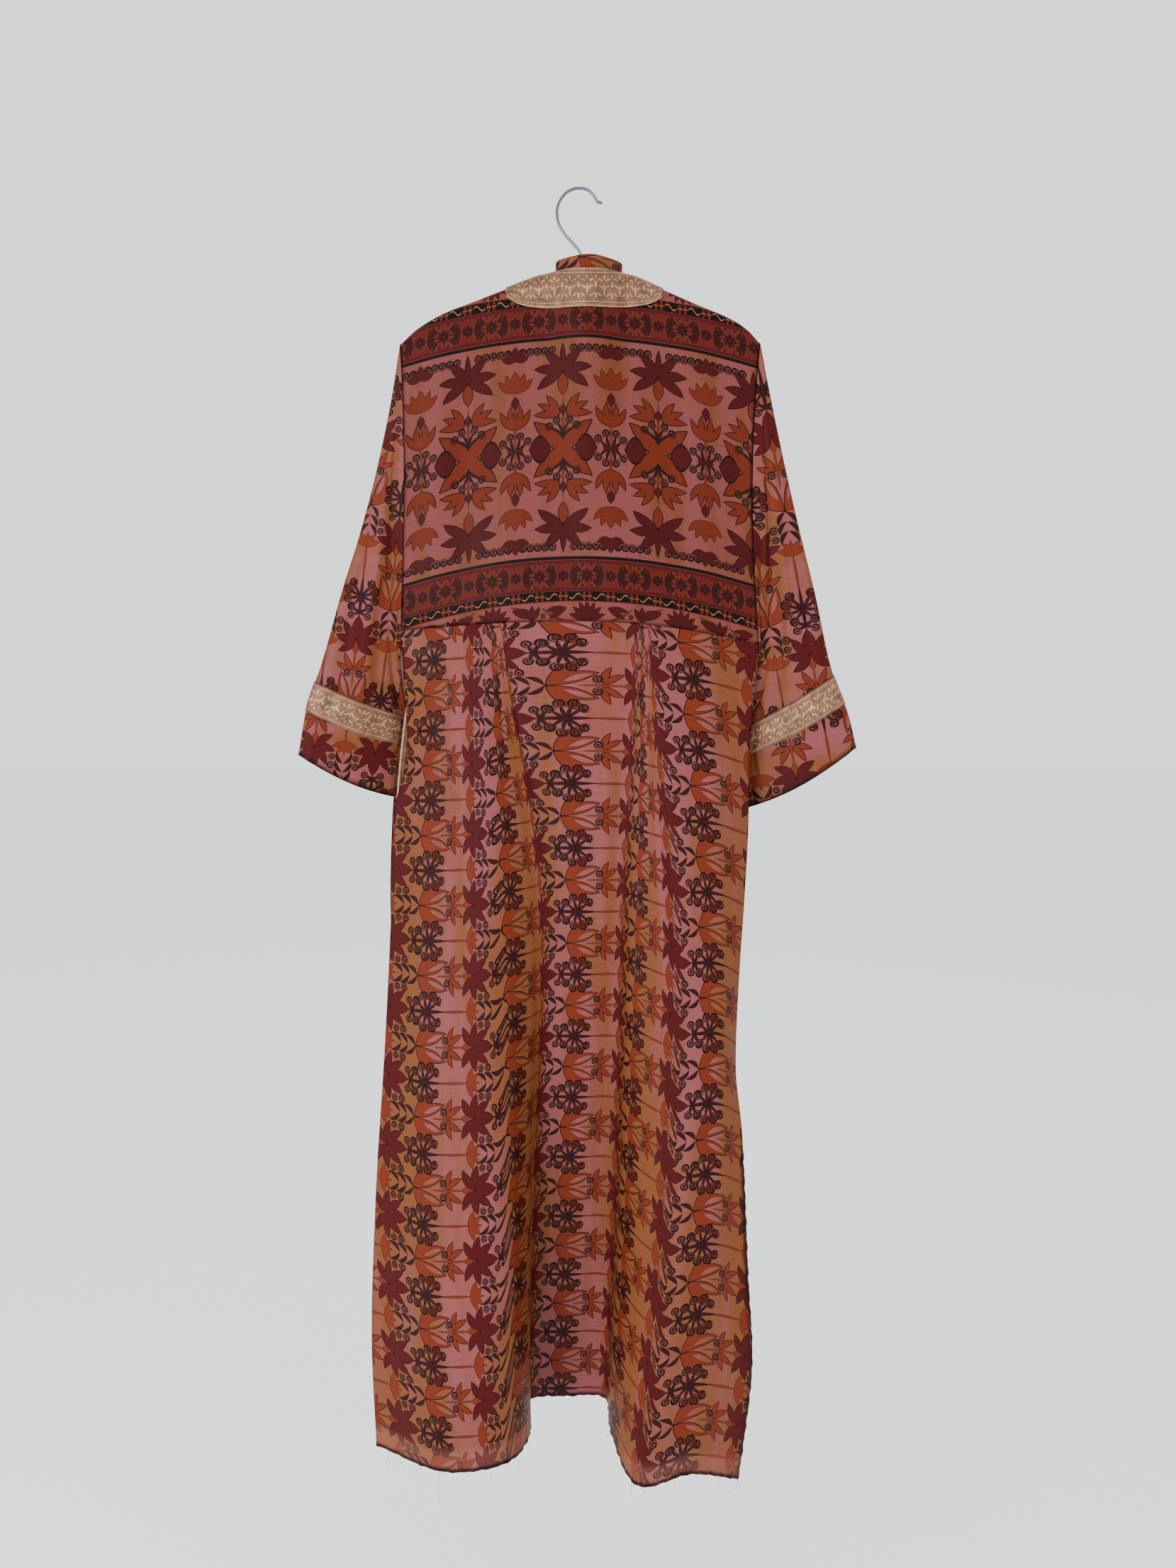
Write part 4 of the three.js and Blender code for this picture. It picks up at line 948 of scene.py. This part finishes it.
# The lean of the printed stems, the foot of one fan (x, z), and the stretch of the print.
sleeve_print = {
    "left": {"lean": 0.132, "fan": (-226.7, -335.0), "along": 1.04, "across": 1.165},
    "right": {"lean": -0.2, "fan": (225.4, -341.9), "along": 0.965, "across": 0.97},
}
for side_name, lines in sleeve_lines.items():
    side = sides[side_name]
    turn = np.pi + side["inward"] * 2 * np.pi * np.arange(SLEEVE["ring"]) / SLEEVE["ring"]
    share = (1 - np.cos(turn)) / 2
    run = {}
    for name, points in lines.items():
        dense = bend_through(points, np.linspace(0, len(points) - 1, 200))
        run[name] = dense, lengths(dense[None], 1)[0]
    size = mix(run["outer"][1][-1], run["under"][1][-1], share)
    below = mix(CUFF["below_outer"], CUFF["below_inner"], share)
    top = 1 - (below + CUFF["border"]) / size
    foot = 1 - below / size
    t = [f * top for f in np.linspace(0, 1, 61)] + [mix(top, foot, f) for f in np.linspace(0, 1, 10)[1:]]
    t += [mix(foot, 1, f) for f in np.concatenate([np.linspace(0, 0.94, 13)[1:], [0.97, 1]])]
    t = np.array(t)
    z = mix(side["top"], UNDERARM, share)
    behind = np.where(np.sin(turn) >= 0, side_depth(side, z), side_depth(side, z, True))
    armhole = np.stack([side["x"](z) - 2.5 * GAP * side["inward"], behind, z], -1)
    tube = {}
    for name, (dense, length) in run.items():
        tube[name] = np.stack([np.interp(t * length[-1], length, dense[:, k]) for k in range(3)], -1)
    grid = mix(tube["outer"], tube["under"], share[None, :, None])
    outward = np.sign(np.sin(turn)) * np.abs(np.sin(turn)) ** SLEEVE["squareness"]
    grid[..., 1] -= outward * mix(SLEEVE["start_width"], SLEEVE["end_width"], t)
    grid[..., 2] -= CUFF["sag"] * np.sin(np.pi * share) * t * t
    grid = mix(armhole[None], grid, smooth(t / SLEEVE["settle"])[..., None])
    around = lengths(np.concatenate([grid, grid[:, :1]], 1), 1)
    down = lengths(grid, 0)
    down = np.concatenate([down, down[:, :1]], 1)
    # Creases are placed by the way round from the outer fold, and the print by the flattened
    # sleeve: its stems run up the arm, and go on round the outer fold to the front.
    outer_column = SLEEVE["ring"] // 2
    from_outer = (around - around[:, outer_column:outer_column + 1])[:, :-1]
    cloth_open = np.stack([side["inward"] * from_outer, -down[:, :-1]], -1)
    stem = sleeve_print[side_name]
    flat_place = np.concatenate([grid, grid[:, :1]], 1)[..., (0, 2)]
    fold_line = flat_place[:, outer_column:outer_column + 1]
    chord = np.array(lines["outer"][-1])[[0, 2]] - np.array(lines["outer"][0])[[0, 2]]
    chord = chord / np.linalg.norm(chord)
    past = flat_place - fold_line
    mirrored = fold_line + 2 * (past @ chord)[..., None] * chord - past
    front_half = np.sin(turn) < 0
    front_half[0] = front_half[1]
    front_half = np.append(front_half, front_half[-1])
    flat_place = np.where(front_half[None, :, None], mirrored, flat_place)
    up_the_arm = np.array([stem["lean"], 1]) / np.hypot(stem["lean"], 1)
    across_arm = np.array([up_the_arm[1], -up_the_arm[0]])
    from_start = flat_place - np.array(stem["fan"])
    cloth = np.stack([from_start @ up_the_arm * stem["along"], from_start @ across_arm * stem["across"]], -1)
    # Under the ribbon the cuff's own edge of cloth begins, with its print the other way up.
    cuff_print = cloth[BORDER_ROWS["middle"]:, :, 0]
    cuff_print[:] = CUFF["print_turn"] - cuff_print
    sleeve_creases = [
        (40, -40, 70, -330, 12, 2.4), (90, -30, 60, -300, 12, -2.2), (140, -60, 110, -360, 14, 2.2),
        (-40, -50, -64, -330, 12, 2.0), (-95, -40, -80, -320, 13, -2.0), (190, -30, 140, -240, 12, -2.0),
        (22, -160, 30, -420, 8, -1.6), (120, -250, 96, -430, 10, -1.5), (-130, -70, -110, -380, 13, 1.8),
        (60, -20, 150, -110, 12, 1.6), (30, -10, 160, -200, 12, -1.4),
    ]
    loose = (smooth(down[:, :-1] / 40) * smooth((1.02 - t) / 0.1))[..., None]
    shape = mix(grid, creased(grid, cloth_open, sleeve_creases, closed=True), loose)
    from_cuff = (1 - t) * size
    ripple = np.exp(-from_cuff / 10) * np.sin(cloth_open[..., 0] / 2.2) * 0.6
    shape = shape + normals_of(grid, True) * ripple[..., None]
    # The rolled cuff hem is darker for its layers, and the first row takes painted shade along the armhole
    # seam.
    sleeve_hem_and_seam_shade = rolled(from_cuff, 2.6)
    sleeve_hem_and_seam_shade[0] = SEAM_SHADE["sleeve_head"]
    sleeve = hang(
        f"sleeve_{side_name}_cloth", shape, cloth,
        {"turn": turned(shape, True) * 0.8, "edge": sleeve_hem_and_seam_shade}, hem=2.4, closed=True)
    sleeve.data.materials.append(running_silk)
    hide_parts(f"sleeve_{side_name}")
    band = slice(BORDER_ROWS["first"], BORDER_ROWS["end"])
    band_down = down[band] - down[band][:1]
    band_cloth = np.stack([around[band], 2 + band_down], -1)
    ribbon(f"cuff_border_{side_name}_ribbon", f"cuff_border_{side_name}", shape[band],
           normals_of(shape, True)[band], band_cloth, closed=True)

# Neck band: a folded strip of the field cloth that stands up inside the gold border.
# It is stiff from its two layers, leans a little forwards and is lowest at its two ends.
COLLAR = {"from": 0.14, "to": 0.93, "height": 14, "lean": 2.5, "inset": 1.2}
collar_across = np.linspace(0, 1, 61)
collar_x = mix(NECK["left"], NECK["right"], mix(COLLAR["from"], COLLAR["to"], collar_across))
collar_foot = yoke_points(collar_x, np.zeros(len(collar_x)))
collar_grid = []
for up in np.linspace(1, 0, 13):
    row = collar_foot.copy()
    row[:, 1] += COLLAR["inset"] + COLLAR["lean"] * up
    ends = np.linspace(-1, 1, len(collar_x)) ** 2
    height = COLLAR["height"] * (1 - 0.12 * ends ** 8) - 0.8 * ends ** 3
    row[:, 2] += 3 * GAP + height * up + 0.8 * up * np.sin(collar_x / 9)
    collar_grid.append(row)
collar_grid = np.array(collar_grid)
collar_cloth = np.stack([collar_grid[..., 0], collar_grid[..., 2]], -1)
neck_band = hang("neck_band_cloth", collar_grid, collar_cloth, {"turn": turned(collar_grid)}, wall=1.6)
neck_band.data.materials.append(running_silk)
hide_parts("neck_band")

# Hook: 3.2 mm plated steel wire, bent round and screwed into the hanger's bar.
# Its tip is ground round, and drawing has left faint lines along the wire.
hook_bends = [
    (3, -91), (3, -72), (0, -63), (-7, -55), (-16, -45), (-22.5, -32), (-22.5, -17), (-15, -4.5), (-6, 0.7),
    (0, 1.6), (8, 0.5), (15, -4.5), (20, -12), (24, -13.5),
]
WIRE_RADIUS = 1.6 * MM
TIP_STEP, tip_widths = 0.4 * MM, (0.93, 0.86, 0.7, 0.4)
hook_stops = np.linspace(0, len(hook_bends) - 1, 160)
hook_line = bend_through([(x, 0, z) for x, z in hook_bends], hook_stops) * MM
bm = bmesh.new()
ring = bmesh.ops.create_circle(bm, segments=20, radius=WIRE_RADIUS, cap_ends=True)["verts"]
along = Vector((0, 0, 1))
for vert in ring:
    vert.co = vert.co + Vector(hook_line[0])
end_edges = [e for e in bm.edges]
before = Vector(hook_line[0])
for index in range(1, len(hook_line)):
    here = Vector(hook_line[index])
    ahead = (here - before).normalized()
    grown = bmesh.ops.extrude_edge_only(bm, edges=end_edges)["geom"]
    ring = [g for g in grown if isinstance(g, bmesh.types.BMVert)]
    end_edges = [g for g in grown if isinstance(g, bmesh.types.BMEdge)]
    bmesh.ops.translate(bm, verts=ring, vec=here - before)
    tilt = along.rotation_difference(ahead).to_matrix()
    bmesh.ops.rotate(bm, verts=ring, cent=here, matrix=tilt)
    along, before = ahead, here
for step, width in enumerate(tip_widths, 1):
    grown = bmesh.ops.extrude_edge_only(bm, edges=end_edges)["geom"]
    ring = [g for g in grown if isinstance(g, bmesh.types.BMVert)]
    end_edges = [g for g in grown if isinstance(g, bmesh.types.BMEdge)]
    bmesh.ops.translate(bm, verts=ring, vec=along * TIP_STEP)
    middle = before + along * TIP_STEP * step
    for vert in ring:
        vert.co = middle + (vert.co - middle) * width
bmesh.ops.contextual_create(bm, geom=end_edges)
bmesh.ops.recalc_face_normals(bm, faces=bm.faces[:])
for face in bm.faces:
    face.smooth = True
hook = made_of("hook_wire", bm)
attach(hook, "root")
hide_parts("hanger_hook")
steel, tree, shader = new_material("plated steel wire")
place = add(tree, "TexCoord", []).outputs["Object"]
drawn = add(tree, "TexNoise", {0: place, 2: 900.0, 3: 3.0})
tone = add(tree, "Mix", {0: drawn, 6: linear("#505257"), 7: linear("#7c7f85")}, data_type="RGBA")
tree.links.new(tone.outputs[2], shader.inputs["Base Color"])
rough = add(tree, "MapRange", {0: drawn, 3: 0.2, 4: 0.34})
tree.links.new(rough.outputs[0], shader.inputs["Roughness"])
shader.inputs["Metallic"].default_value = 1.0
hook.data.materials.append(steel)

# Hanger bar: sawn and rounded beech, stained mid brown under a satin varnish.
# Growth rings run along it as soft darker lines about 2 mm apart.
beech, tree, shader = new_material("stained beech, satin varnish")
place = add(tree, "TexCoord", []).outputs["Object"]
stretched = add(tree, "Mapping", [place, (0, 0, 0), (0, 0, 0), (12, 160, 480)])
grain = add(tree, "TexNoise", {0: stretched, 2: 1.0, 3: 5.0, 4: 0.6})
tone = add(tree, "Mix", {0: grain, 6: linear("#5c3a22"), 7: linear("#9a6d45")}, data_type="RGBA")
tree.links.new(tone.outputs[2], shader.inputs["Base Color"])
bump = add(tree, "Bump", {"Strength": 0.3, "Distance": 0.0002, "Height": grain})
tree.links.new(bump.outputs[0], shader.inputs["Normal"])
shader.inputs["Roughness"].default_value = 0.45
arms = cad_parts["hanger_arms"]
arms = arms if hasattr(arms, "data") else bpy.data.objects["hanger_arms"]
for slot in arms.material_slots:
    slot.material = beech

# Floor and light: a plain pale floor well below the hem and soft light from all round,
# with one large lamp high in front of the back.
FLOOR_HEIGHT, FLOOR_HALF_WIDTH = -1.75, 14
bm = bmesh.new()
bmesh.ops.create_grid(bm, x_segments=1, y_segments=1, size=FLOOR_HALF_WIDTH)
bmesh.ops.translate(bm, verts=bm.verts[:], vec=(0, 0, FLOOR_HEIGHT))
floor = made_of("floor", bm)
pale_paint, tree, shader = new_material("pale painted floor")
shader.inputs["Base Color"].default_value = linear("#f7f8f8")
shader.inputs["Roughness"].default_value = 0.8
floor.data.materials.append(pale_paint)

world = bpy.data.worlds.new("soft daylight")
world.use_nodes = True
sky = world.node_tree.nodes["Background"]
sky.inputs["Color"].default_value = linear("#fafcff")
sky.inputs["Strength"].default_value = 1.6
bpy.context.scene.world = world
for lamp_name, position, size, power in (
    ("key", (-1.5, -2.2, -0.2), 1.2, 60), ("fill", (2.2, -1.6, 0.2), 1.6, 6),
    ("behind", (0.4, 2.4, 0.8), 2.0, 16),
):
    lamp = bpy.data.lights.new(lamp_name, "AREA")
    lamp.size = size
    lamp.energy = power
    holder = placed(lamp_name, lamp)
    holder.location = position
    aim = Vector((0, 0, -0.95)) - Vector(position)
    holder.rotation_euler = aim.to_track_quat("-Z", "Y").to_euler()
